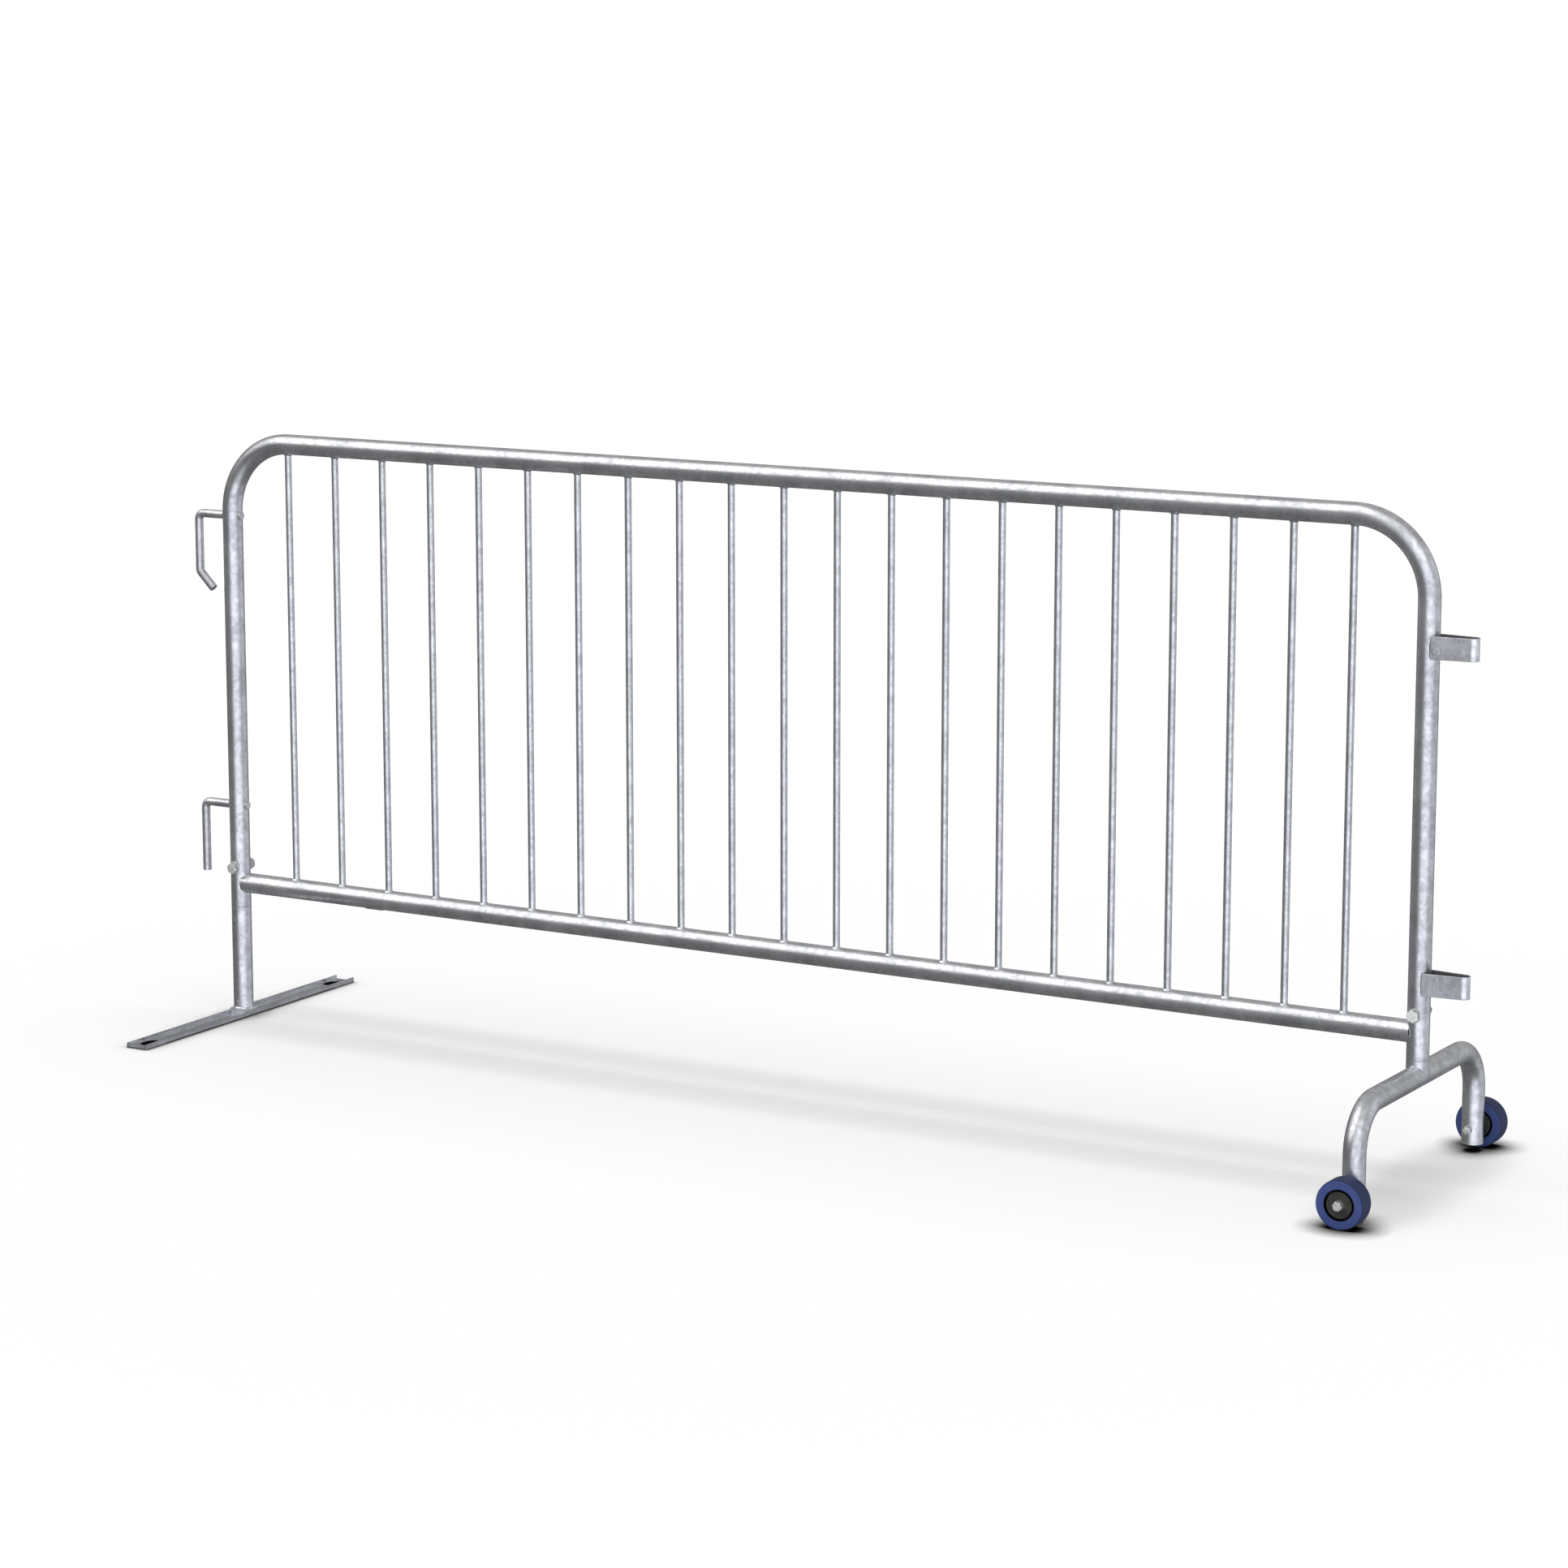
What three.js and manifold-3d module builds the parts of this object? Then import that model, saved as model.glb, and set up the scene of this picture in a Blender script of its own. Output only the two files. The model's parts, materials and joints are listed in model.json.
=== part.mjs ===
// Steel crowd control barrier on one flat foot and one bridge foot with two wheels.
// Millimetres, +Z up. The origin is on the ground, at the middle of the overall length and depth.
// +X runs along the barrier from the hook end to the loop end; +Y is the far side of the panel.

import * as THREE from 'three';
import { mergeVertices } from 'three/addons/utils/BufferGeometryUtils.js';
import Module from 'manifold-3d';

const wasm = await Module();
wasm.setup();

// ---------------------------------------------------------------- driving dimensions

const GAP = 0.3;                    // clearance left between touching pieces

const TUBE_OD = 38.1;               // frame, rail, post and bridge tube
const TUBE_WALL = 1.9;
const LEG_SPACING = 2425.7;         // between the leg axes
const TOP_RAIL_Z = 1113;            // axis of the top rail
const BOTTOM_RAIL_Z = 261;          // axis of the bottom rail
const LEG_END_Z = 216;              // where the legs sit on the feet
const CORNER_RADIUS = 133;          // bend of the hoop, on the tube axis
const RAIL_TIP_TRIM = 9;            // saddle-cut rail ends stop this far from the leg axis

const UPRIGHT_COUNT = 21;
const UPRIGHT_SPACING = 107.95;
const UPRIGHT_OD = 12.7;
const UPRIGHT_WALL = 1.25;

const HOOK_ROD = 16;
const HOOK_REACH = 80.3;            // leg axis to hook axis
const HOOK_BEND = 12;
const HOOK_UPPER_Z = 971.5;
const HOOK_LOWER_Z = 412.5;
const HOOK_UPPER_KNEE_Z = 860;      // where the upper hook turns inwards at 45 degrees
const HOOK_UPPER_TIP_DROP = 31.6;   // height and reach of the 45 degree tip
const HOOK_LOWER_END_Z = 277;
const HOOK_STUB = 20.5;             // leg axis to the rod's welded end

const LOOP_REACH = 88.3;            // leg axis to the loop's outer end
const LOOP_HEIGHT = 38.1;
const LOOP_STRAP = 3.175;
const LOOP_NOSE_RADIUS = 12.5;      // outer radius of the loop's rounded end
const LOOP_ROOT = 10.4;             // leg axis to the strap's cut ends
const LOOP_UPPER_Z = 904.5;
const LOOP_LOWER_Z = 345.3;

const SPIGOT_OD = 33.7;             // inner tube that joins each foot to its leg
const SPIGOT_WALL = 2.4;
const SPIGOT_TOP_Z = 335;
const LOCK_BOLT_Z = 292.5;
const LOCK = { shank: 12.7, hole: 14.3, headFlats: 19.05, head: 8, nut: 11.1, washerOD: 24.2, washer: 2.2 };
const LOCK_BOLT_END = 35;           // leg axis to the threaded end

const CHANNEL_LENGTH = 664;
const CHANNEL_WIDTH = 44.45;
const CHANNEL_HEIGHT = 9.5;
const CHANNEL_WALL = 3;
const CHANNEL_ARCH = 0.8;           // clearance under the channel between its two end pads
const CHANNEL_PAD = 60;             // length of each end pad
const SLOT_LENGTH = 42;             // anchor slots
const SLOT_WIDTH = 31;
const SLOT_Y = 290;
const SEAT_TOP_Z = 14.3;            // square seat under the post
const POST_SPIGOT_Z = 150;          // lower end of the spigot inside the post

const BRIDGE_Z = 186.5;             // axis of the bridge's level run
const BRIDGE_HALF_SPAN = 256;
const BRIDGE_BEND = 76.2;
const BRIDGE_END_Z = 13.5;

const WHEEL_RADIUS = 41.275;
const WHEEL_WIDTH = 38.1;
const TYRE_BORE = 26;
const TYRE_SHOULDERS = [[39.4, 0], [40.7, 1.3], [41.275, 5]];   // radius and depth behind the tyre's face
const HUB_WIDTH = 36.4;
const HUB_FACE = 22;                // radius of the hub's round face
const HUB_RIM_WIDTH = 16;
const BUSH_RADIUS = 10;
const SLEEVE_RADIUS = 6;
const SLEEVE_PROUD = 0.3;           // past the hub's outer face, so the bolt cannot pinch the wheel
const AXLE = { shank: 9.525, hole: 10.3, headFlats: 14.3, head: 6.1, nut: 8.3, washerOD: 20.6, washer: 2 };
const AXLE_SLIM = { ...AXLE, headFlats: 13, washerOD: 14.8 };   // the axle's nut and end washers
const AXLE_BOLT_END = 224.5;        // the panel's plane to the threaded end

const TUBE_SIDES = 16;
const SMALL_SIDES = 12;
const WHEEL_SIDES = 32;
const BEND_STEPS = 6;

// ---------------------------------------------------------------- derived places

const TUBE_R = TUBE_OD / 2;
const BORE_R = TUBE_R - TUBE_WALL;
const LEG_X = LEG_SPACING / 2;
const FIRST_UPRIGHT_X = -UPRIGHT_SPACING * (UPRIGHT_COUNT - 1) / 2;
const WHEEL_MID = BRIDGE_HALF_SPAN + TUBE_R + AXLE.washer + 4 * GAP + WHEEL_WIDTH / 2;
const AXLE_Z = WHEEL_RADIUS;

// ---------------------------------------------------------------- materials

const galvanised = new THREE.MeshStandardMaterial({ color: 0x9da1a5, roughness: 0.42, metalness: 0.85 });
const rodSteel = new THREE.MeshStandardMaterial({ color: 0x989ca1, roughness: 0.38, metalness: 0.9 });
const strapSteel = new THREE.MeshStandardMaterial({ color: 0x85888e, roughness: 0.5, metalness: 0.8 });
const footSteel = new THREE.MeshStandardMaterial({ color: 0x7c8087, roughness: 0.5, metalness: 0.8 });
const innerSteel = new THREE.MeshStandardMaterial({ color: 0x8a8d90, roughness: 0.5, metalness: 0.8 });
const zinc = new THREE.MeshStandardMaterial({ color: 0xc9ccc9, roughness: 0.3, metalness: 0.95 });
const tread = new THREE.MeshStandardMaterial({ color: 0x28327a, roughness: 0.5, metalness: 0 });
const hubPlastic = new THREE.MeshStandardMaterial({ color: 0x23241f, roughness: 0.55, metalness: 0 });
const nylon = new THREE.MeshStandardMaterial({ color: 0x4a4b45, roughness: 0.5, metalness: 0 });

// ---------------------------------------------------------------- geometry helpers

// A route of straight runs joined by circular bends, with a station only where a ring is needed.
class BentPath extends THREE.Curve {
  constructor(corners, radius) {
    super();
    const last = corners.length - 1;
    const start = corners[1].clone().sub(corners[0]).normalize();
    this.stations = [{ point: corners[0], tangent: start }];
    for (let i = 1; i < last; i += 1) {
      const into = corners[i].clone().sub(corners[i - 1]).normalize();
      const out = corners[i + 1].clone().sub(corners[i]).normalize();
      this.addBend(corners[i], into, out, radius);
    }
    const end = corners[last].clone().sub(corners[last - 1]).normalize();
    this.stations.push({ point: corners[last], tangent: end });
  }

  addBend(corner, into, out, radius) {
    const turn = into.angleTo(out);
    const setback = radius * Math.tan(turn / 2);
    const axis = into.clone().cross(out).normalize();
    const inward = axis.clone().cross(into);
    const centre = corner.clone().addScaledVector(into, -setback).addScaledVector(inward, radius);
    for (let k = 0; k <= BEND_STEPS; k += 1) {
      const angle = turn * k / BEND_STEPS;
      const arm = inward.clone().multiplyScalar(-radius).applyAxisAngle(axis, angle);
      const tangent = into.clone().applyAxisAngle(axis, angle);
      this.stations.push({ point: centre.clone().add(arm), tangent });
    }
  }

  get steps() {
    return this.stations.length - 1;
  }

  station(u) {
    return this.stations[Math.round(u * this.steps)];
  }

  getPointAt(u, target = new THREE.Vector3()) {
    return target.copy(this.station(u).point);
  }

  getTangentAt(u, target = new THREE.Vector3()) {
    return target.copy(this.station(u).tangent);
  }
}

function circle(radius, sides) {
  const points = [];
  for (let i = 0; i < sides; i += 1) {
    const angle = 2 * Math.PI * i / sides;
    points.push(new THREE.Vector2(radius * Math.cos(angle), radius * Math.sin(angle)));
  }
  return points;
}

function ring(outer, inner, sides) {
  const shape = new THREE.Shape(circle(outer, sides));
  if (inner > 0) {
    shape.holes.push(new THREE.Path(circle(inner, sides)));
  }
  return shape;
}

function swept(shape, path) {
  return new THREE.ExtrudeGeometry(shape, { steps: path.steps, extrudePath: path });
}

function prism(shape, low, high) {
  return new THREE.ExtrudeGeometry(shape, { depth: high - low, bevelEnabled: false }).translate(0, 0, low);
}

// A straight tube or rod from z = low to z = high on the Z axis.
function upright(outer, inner, low, high, sides = TUBE_SIDES) {
  return prism(ring(outer, inner, sides), low, high);
}

// The same, along Y from y = near to y = far.
function crosswise(outer, inner, near, far, sides = TUBE_SIDES) {
  return upright(outer, inner, near, far, sides).rotateX(-Math.PI / 2);
}

// The same, along X from x = left to x = right.
function lengthwise(outer, inner, left, right, sides = TUBE_SIDES) {
  return upright(outer, inner, left, right, sides).rotateY(Math.PI / 2);
}

function hexagon(flats, bore) {
  const shape = new THREE.Shape(circle(flats / Math.sqrt(3), 6));
  if (bore > 0) {
    shape.holes.push(new THREE.Path(circle(bore, SMALL_SIDES)));
  }
  return shape;
}

function hexAlongY(flats, bore, near, far) {
  return prism(hexagon(flats, bore), near, far).rotateX(-Math.PI / 2);
}

function box(sizeX, sizeY, sizeZ, x, y, z) {
  return new THREE.BoxGeometry(sizeX, sizeY, sizeZ).translate(x, y, z);
}

function welded(geometry) {
  const bare = geometry.clone();
  bare.deleteAttribute('normal');
  bare.deleteAttribute('uv');
  return mergeVertices(bare, 1e-4);
}

function toSolid(geometry) {
  const bare = welded(geometry);
  return new wasm.Manifold(new wasm.Mesh({
    numProp: 3,
    vertProperties: new Float32Array(bare.attributes.position.array),
    triVerts: new Uint32Array(bare.index.array),
  }));
}

function toGeometry(solid) {
  const mesh = solid.getMesh();
  const geometry = new THREE.BufferGeometry();
  geometry.setAttribute('position', new THREE.BufferAttribute(new Float32Array(mesh.vertProperties), 3));
  geometry.setIndex(new THREE.BufferAttribute(new Uint32Array(mesh.triVerts), 1));
  geometry.computeVertexNormals();
  return geometry;
}

function cut(geometry, tools) {
  let solid = toSolid(geometry);
  for (const tool of tools) {
    solid = solid.subtract(toSolid(tool));
  }
  return toGeometry(solid);
}

function joined(geometries) {
  return toGeometry(geometries.map(toSolid).reduce((whole, piece) => whole.add(piece)));
}

const barrier = new THREE.Group();

function piece(name, geometry, material, parent = barrier) {
  const mesh = new THREE.Mesh(geometry, material);
  mesh.name = name;
  parent.add(mesh);
  return mesh;
}

// ---------------------------------------------------------------- frame

// A bore across the panel for the bolt that locks a leg onto its foot.
function lockHole(x) {
  return crosswise(LOCK.hole / 2, 0, -TUBE_OD, TUBE_OD, SMALL_SIDES).translate(x, 0, LOCK_BOLT_Z);
}

const hoopPath = new BentPath([
  new THREE.Vector3(-LEG_X, 0, LEG_END_Z),
  new THREE.Vector3(-LEG_X, 0, TOP_RAIL_Z),
  new THREE.Vector3(LEG_X, 0, TOP_RAIL_Z),
  new THREE.Vector3(LEG_X, 0, LEG_END_Z),
], CORNER_RADIUS);

function frameHoop() {
  const hookHoles = [HOOK_UPPER_Z, HOOK_LOWER_Z].map((z) => (
    lengthwise(HOOK_ROD / 2 + GAP, 0, -LEG_X - TUBE_OD, -LEG_X + TUBE_OD, SMALL_SIDES).translate(0, 0, z)
  ));
  const tube = swept(ring(TUBE_R, BORE_R, TUBE_SIDES), hoopPath);
  return cut(tube, [...hookHoles, lockHole(-LEG_X), lockHole(LEG_X)]);
}

function bottomRail() {
  const end = LEG_X - RAIL_TIP_TRIM;
  const bar = lengthwise(TUBE_R, BORE_R, -end, end).translate(0, 0, BOTTOM_RAIL_Z);
  const saddles = [-LEG_X, LEG_X].map((x) => (
    upright(TUBE_R + GAP, 0, BOTTOM_RAIL_Z - TUBE_OD, BOTTOM_RAIL_Z + TUBE_OD).translate(x, 0, 0)
  ));
  return cut(bar, saddles);
}

// A bar of the panel, its ends saddle-cut to sit on the two rails.
function panelBar(x) {
  const bore = UPRIGHT_OD / 2 - UPRIGHT_WALL;
  const bar = upright(UPRIGHT_OD / 2, bore, BOTTOM_RAIL_Z, TOP_RAIL_Z, SMALL_SIDES).translate(x, 0, 0);
  const aboveBar = swept(ring(TUBE_R + GAP, 0, TUBE_SIDES), hoopPath);
  const belowBar = lengthwise(TUBE_R + GAP, 0, -LEG_X, LEG_X).translate(0, 0, BOTTOM_RAIL_Z);
  return cut(bar, [aboveBar, belowBar]);
}

piece('frame_hoop', frameHoop(), galvanised);
piece('bottom_rail', bottomRail(), galvanised);

for (let i = 0; i < UPRIGHT_COUNT; i += 1) {
  const number = String(i + 1).padStart(2, '0');
  piece(`upright_${number}`, panelBar(FIRST_UPRIGHT_X + i * UPRIGHT_SPACING), galvanised);
}

// ---------------------------------------------------------------- hooks and loops

function hook(z, downwards) {
  const path = new BentPath([
    new THREE.Vector3(HOOK_STUB, 0, z),
    new THREE.Vector3(-HOOK_REACH, 0, z),
    ...downwards,
  ], HOOK_BEND);
  return swept(ring(HOOK_ROD / 2, 0, SMALL_SIDES), path);
}

const upperHook = piece('hook_upper', hook(HOOK_UPPER_Z, [
  new THREE.Vector3(-HOOK_REACH, 0, HOOK_UPPER_KNEE_Z),
  new THREE.Vector3(-HOOK_REACH + HOOK_UPPER_TIP_DROP, 0, HOOK_UPPER_KNEE_Z - HOOK_UPPER_TIP_DROP),
]), rodSteel);
upperHook.position.x = -LEG_X;

const lowerHook = piece('hook_lower', hook(HOOK_LOWER_Z, [
  new THREE.Vector3(-HOOK_REACH, 0, HOOK_LOWER_END_Z),
]), rodSteel);
lowerHook.position.x = -LEG_X;

// Half outline of the U-shaped strap at an offset inside its outer face, from the root to the nose.
function strapSide(inset, sign) {
  const noseX = LOOP_REACH - LOOP_NOSE_RADIUS;
  const span = Math.hypot(noseX - LOOP_ROOT, TUBE_R);
  const lean = Math.atan2(TUBE_R, noseX - LOOP_ROOT) - Math.asin(LOOP_NOSE_RADIUS / span);
  const radius = LOOP_NOSE_RADIUS - inset;
  const rootY = TUBE_R - inset / Math.cos(lean);
  const points = [new THREE.Vector2(LOOP_ROOT, sign * rootY)];
  for (let k = 0; k <= BEND_STEPS; k += 1) {
    const angle = (Math.PI / 2 - lean) * (1 - k / BEND_STEPS);
    points.push(new THREE.Vector2(noseX + radius * Math.cos(angle), sign * radius * Math.sin(angle)));
  }
  return points;
}

function strapLoop() {
  const outside = [...strapSide(0, -1), ...strapSide(0, 1).reverse().slice(1)];
  const inside = [...strapSide(LOOP_STRAP, 1), ...strapSide(LOOP_STRAP, -1).reverse().slice(1)];
  const strap = new THREE.ExtrudeGeometry(new THREE.Shape([...outside, ...inside]), {
    depth: LOOP_HEIGHT,
    bevelEnabled: false,
  }).translate(0, 0, -LOOP_HEIGHT / 2);
  return cut(strap, [upright(TUBE_R + GAP, 0, -LOOP_HEIGHT, LOOP_HEIGHT)]);
}

piece('loop_upper', strapLoop(), strapSteel).position.set(LEG_X, 0, LOOP_UPPER_Z);
piece('loop_lower', strapLoop(), strapSteel).position.set(LEG_X, 0, LOOP_LOWER_Z);

// ---------------------------------------------------------------- fasteners, along Y with the head at -Y

function boltAlongY(size, headFace, end) {
  const head = hexAlongY(size.headFlats, 0, headFace, headFace + size.head);
  const shank = crosswise(size.shank / 2, 0, headFace + size.head / 2, end, SMALL_SIDES);
  return joined([head, shank]);
}

function nutAlongY(size, near) {
  return hexAlongY(size.headFlats, size.shank / 2 + GAP, near, near + size.nut);
}

function washerAlongY(size, near) {
  return crosswise(size.washerOD / 2, size.shank / 2 + GAP, near, near + size.washer, TUBE_SIDES);
}

function lockBolt(prefix, x) {
  const set = new THREE.Group();
  set.position.set(x, 0, LOCK_BOLT_Z);
  barrier.add(set);
  const washerFace = TUBE_R + GAP;
  const bearingFace = washerFace + LOCK.washer + GAP;
  piece(`${prefix}_bolt`, boltAlongY(LOCK, -bearingFace - LOCK.head, LOCK_BOLT_END), zinc, set);
  piece(`${prefix}_head_washer`, washerAlongY(LOCK, -washerFace - LOCK.washer), zinc, set);
  piece(`${prefix}_nut_washer`, washerAlongY(LOCK, washerFace), zinc, set);
  piece(`${prefix}_nut`, nutAlongY(LOCK, bearingFace), zinc, set);
}

// ---------------------------------------------------------------- flat foot

function anchorSlot(y) {
  const half = SLOT_WIDTH / 2;
  const straight = (SLOT_LENGTH - SLOT_WIDTH) / 2;
  const shape = new THREE.Shape();
  shape.absarc(0, straight, half, 0, Math.PI, false);
  shape.absarc(0, -straight, half, Math.PI, 2 * Math.PI, false);
  return new THREE.ExtrudeGeometry(shape, { depth: CHANNEL_HEIGHT, bevelEnabled: false, curveSegments: 6 })
    .translate(0, y, -CHANNEL_WALL);
}

function footChannel() {
  const trough = CHANNEL_WIDTH - 2 * CHANNEL_WALL;
  const blank = box(CHANNEL_WIDTH, CHANNEL_LENGTH, CHANNEL_HEIGHT, 0, 0, CHANNEL_HEIGHT / 2);
  const inside = box(trough, CHANNEL_LENGTH * 1.1, CHANNEL_HEIGHT, 0, 0, CHANNEL_WALL + CHANNEL_HEIGHT / 2);
  const arch = box(CHANNEL_WIDTH * 1.1, CHANNEL_LENGTH - 2 * CHANNEL_PAD, 2 * CHANNEL_ARCH, 0, 0, 0);
  return cut(blank, [inside, arch, anchorSlot(SLOT_Y), anchorSlot(-SLOT_Y)]);
}

function footSeat() {
  const low = CHANNEL_WALL + GAP;
  const side = CHANNEL_WIDTH - 2 * (CHANNEL_WALL + GAP);
  return box(side, side, SEAT_TOP_Z - low, 0, 0, (SEAT_TOP_Z + low) / 2);
}

function footPost() {
  return upright(TUBE_R, BORE_R, SEAT_TOP_Z + GAP, LEG_END_Z - GAP);
}

function postSpigot() {
  const tube = upright(SPIGOT_OD / 2, SPIGOT_OD / 2 - SPIGOT_WALL, POST_SPIGOT_Z, SPIGOT_TOP_Z);
  return cut(tube, [lockHole(0)]);
}

piece('flat_foot_channel', footChannel(), footSteel).position.x = -LEG_X;
piece('flat_foot_seat', footSeat(), footSteel).position.x = -LEG_X;
piece('flat_foot_post', footPost(), galvanised).position.x = -LEG_X;
piece('flat_foot_spigot', postSpigot(), innerSteel).position.x = -LEG_X;
lockBolt('flat_foot', -LEG_X);

// ---------------------------------------------------------------- bridge foot

function saddleCutter() {
  return crosswise(TUBE_R + GAP, 0, -TUBE_OD, TUBE_OD).translate(0, 0, BRIDGE_Z);
}

function bridgeTube() {
  const path = new BentPath([
    new THREE.Vector3(0, -BRIDGE_HALF_SPAN, BRIDGE_END_Z),
    new THREE.Vector3(0, -BRIDGE_HALF_SPAN, BRIDGE_Z),
    new THREE.Vector3(0, BRIDGE_HALF_SPAN, BRIDGE_Z),
    new THREE.Vector3(0, BRIDGE_HALF_SPAN, BRIDGE_END_Z),
  ], BRIDGE_BEND);
  const axleHoles = [-BRIDGE_HALF_SPAN, BRIDGE_HALF_SPAN].map((y) => (
    crosswise(AXLE.hole / 2, 0, y - TUBE_OD, y + TUBE_OD, SMALL_SIDES).translate(0, 0, AXLE_Z)
  ));
  return cut(swept(ring(TUBE_R, BORE_R, TUBE_SIDES), path), axleHoles);
}

function bridgeStub() {
  return cut(upright(TUBE_R, BORE_R, BRIDGE_Z, LEG_END_Z - GAP), [saddleCutter()]);
}

function bridgeSpigot() {
  const tube = upright(SPIGOT_OD / 2, SPIGOT_OD / 2 - SPIGOT_WALL, BRIDGE_Z, SPIGOT_TOP_Z);
  return cut(tube, [saddleCutter(), lockHole(0)]);
}

piece('bridge_foot_tube', bridgeTube(), galvanised).position.x = LEG_X;
piece('bridge_foot_stub', bridgeStub(), galvanised).position.x = LEG_X;
piece('bridge_foot_spigot', bridgeSpigot(), innerSteel).position.x = LEG_X;
lockBolt('bridge_foot', LEG_X);

// ---------------------------------------------------------------- wheels, on Y with the outer face at +Y

function turned(profile) {
  const points = profile.map(([radius, along]) => new THREE.Vector2(radius, along));
  return new THREE.LatheGeometry([...points, points[0].clone()], WHEEL_SIDES);
}

function tyre() {
  const half = WHEEL_WIDTH / 2;
  const inner = TYRE_SHOULDERS.map(([radius, depth]) => [radius, depth - half]);
  const outer = TYRE_SHOULDERS.map(([radius, depth]) => [radius, half - depth]);
  return turned([[TYRE_BORE, -half], ...inner, ...outer.reverse(), [TYRE_BORE, half]]);
}

function hub() {
  const half = HUB_WIDTH / 2;
  const rim = HUB_RIM_WIDTH / 2;
  const seat = TYRE_BORE - GAP;
  const bore = BUSH_RADIUS + GAP;
  return turned([
    [bore, -half], [HUB_FACE, -half], [HUB_FACE, -rim], [seat, -rim],
    [seat, rim], [HUB_FACE, rim], [HUB_FACE, half], [bore, half],
  ]);
}

function bush() {
  return crosswise(BUSH_RADIUS, SLEEVE_RADIUS + GAP, -HUB_WIDTH / 2, HUB_WIDTH / 2);
}

function wheel(name, side) {
  const station = new THREE.Group();
  station.position.set(LEG_X, 0, AXLE_Z);
  station.rotation.z = side > 0 ? 0 : Math.PI;
  barrier.add(station);

  const mid = new THREE.Group();
  mid.position.y = WHEEL_MID;
  station.add(mid);
  piece(`${name}_wheel_tyre`, tyre(), tread, mid);
  piece(`${name}_wheel_hub`, hub(), hubPlastic, mid);
  piece(`${name}_wheel_bush`, bush(), nylon, mid);

  const spacerNear = BRIDGE_HALF_SPAN + TUBE_R + GAP;
  const sleeveNear = spacerNear + AXLE.washer + GAP;
  const sleeveFar = WHEEL_MID + HUB_WIDTH / 2 + SLEEVE_PROUD;
  const headWasherNear = sleeveFar + GAP;
  const headFace = headWasherNear + AXLE.washer + GAP + AXLE.head;
  const nutWasherNear = BRIDGE_HALF_SPAN - TUBE_R - GAP - AXLE.washer;

  const bolt = boltAlongY(AXLE, -headFace, -AXLE_BOLT_END).rotateZ(Math.PI);
  const sleeve = crosswise(SLEEVE_RADIUS, AXLE.shank / 2 + GAP, sleeveNear, sleeveFar, SMALL_SIDES);
  piece(`${name}_axle_bolt`, bolt, zinc, station);
  piece(`${name}_axle_head_washer`, washerAlongY(AXLE_SLIM, headWasherNear), zinc, station);
  piece(`${name}_axle_sleeve`, sleeve, innerSteel, station);
  piece(`${name}_axle_spacer`, washerAlongY(AXLE, spacerNear), zinc, station);
  piece(`${name}_axle_nut_washer`, washerAlongY(AXLE_SLIM, nutWasherNear), zinc, station);
  piece(`${name}_axle_nut`, nutAlongY(AXLE_SLIM, nutWasherNear - GAP - AXLE.nut), zinc, station);
}

wheel('front', -1);
wheel('rear', 1);

export default barrier;
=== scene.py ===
"""Looks of the crowd control barrier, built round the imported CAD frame. Metres, +Z up."""

import json
import math
import random

import bmesh
import bpy
from mathutils import Matrix, Vector, noise

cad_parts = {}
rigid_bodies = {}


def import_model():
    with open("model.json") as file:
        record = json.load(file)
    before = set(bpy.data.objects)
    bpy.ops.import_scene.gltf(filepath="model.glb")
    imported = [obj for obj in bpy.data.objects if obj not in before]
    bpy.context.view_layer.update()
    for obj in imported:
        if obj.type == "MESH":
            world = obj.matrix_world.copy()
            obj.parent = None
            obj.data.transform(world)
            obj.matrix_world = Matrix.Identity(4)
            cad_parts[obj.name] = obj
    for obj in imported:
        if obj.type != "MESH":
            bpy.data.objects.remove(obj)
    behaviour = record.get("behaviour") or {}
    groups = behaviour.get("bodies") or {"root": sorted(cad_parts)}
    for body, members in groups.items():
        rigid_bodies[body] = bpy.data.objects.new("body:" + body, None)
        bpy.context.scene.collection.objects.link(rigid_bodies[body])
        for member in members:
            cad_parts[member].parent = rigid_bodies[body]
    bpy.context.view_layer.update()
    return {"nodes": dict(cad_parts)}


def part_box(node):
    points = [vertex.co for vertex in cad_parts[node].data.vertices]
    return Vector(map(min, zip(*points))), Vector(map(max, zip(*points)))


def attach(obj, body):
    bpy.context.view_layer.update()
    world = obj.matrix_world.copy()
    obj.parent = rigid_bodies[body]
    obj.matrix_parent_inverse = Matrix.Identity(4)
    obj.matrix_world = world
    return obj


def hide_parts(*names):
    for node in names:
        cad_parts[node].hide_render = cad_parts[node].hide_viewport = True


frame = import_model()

MM = 0.001


# ------------------------------------ sizes that no CAD box gives

TUBE_WALL = 1.9 * MM
CORNER = 133 * MM               # bend of the hoop, on the tube's axis
BRIDGE_BEND = 76.2 * MM         # bend of the bridge foot, on the tube's axis
SPIGOT_WALL = 2.4 * MM
HOOK_BEND = 12 * MM
HOOK_TIP = 31.6 * MM            # reach and drop of the upper hook's slanted tip
LOOP_ROOT = 10.4 * MM           # leg axis to the strap's cut ends
LOOP_NOSE = 12.5 * MM           # outer radius of the loop's round end
STRAP = 3.175 * MM
STRAP_EDGE = 0.7 * MM           # rounding of the strap's edges
CHANNEL_WALL = 3 * MM
CHANNEL_PAD = 60 * MM           # length of the stretch at each end that rests on the ground
CHANNEL_ARCH = 0.8 * MM         # how far the middle is clear of the ground
SLOT_Y = 290 * MM               # middle of an anchor slot
SLOT_R = 15.5 * MM              # round end of a slot
SLOT_HALF = 5.5 * MM            # half of a slot's straight length
LOCK = {"head": 8 * MM, "thread": 6.3 * MM, "pitch": 1.95 * MM, "nut_bore": 6.6 * MM}
AXLE = {"head": 6.1 * MM, "thread": 4.7 * MM, "pitch": 1.59 * MM, "nut_bore": 5.0 * MM}
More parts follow.
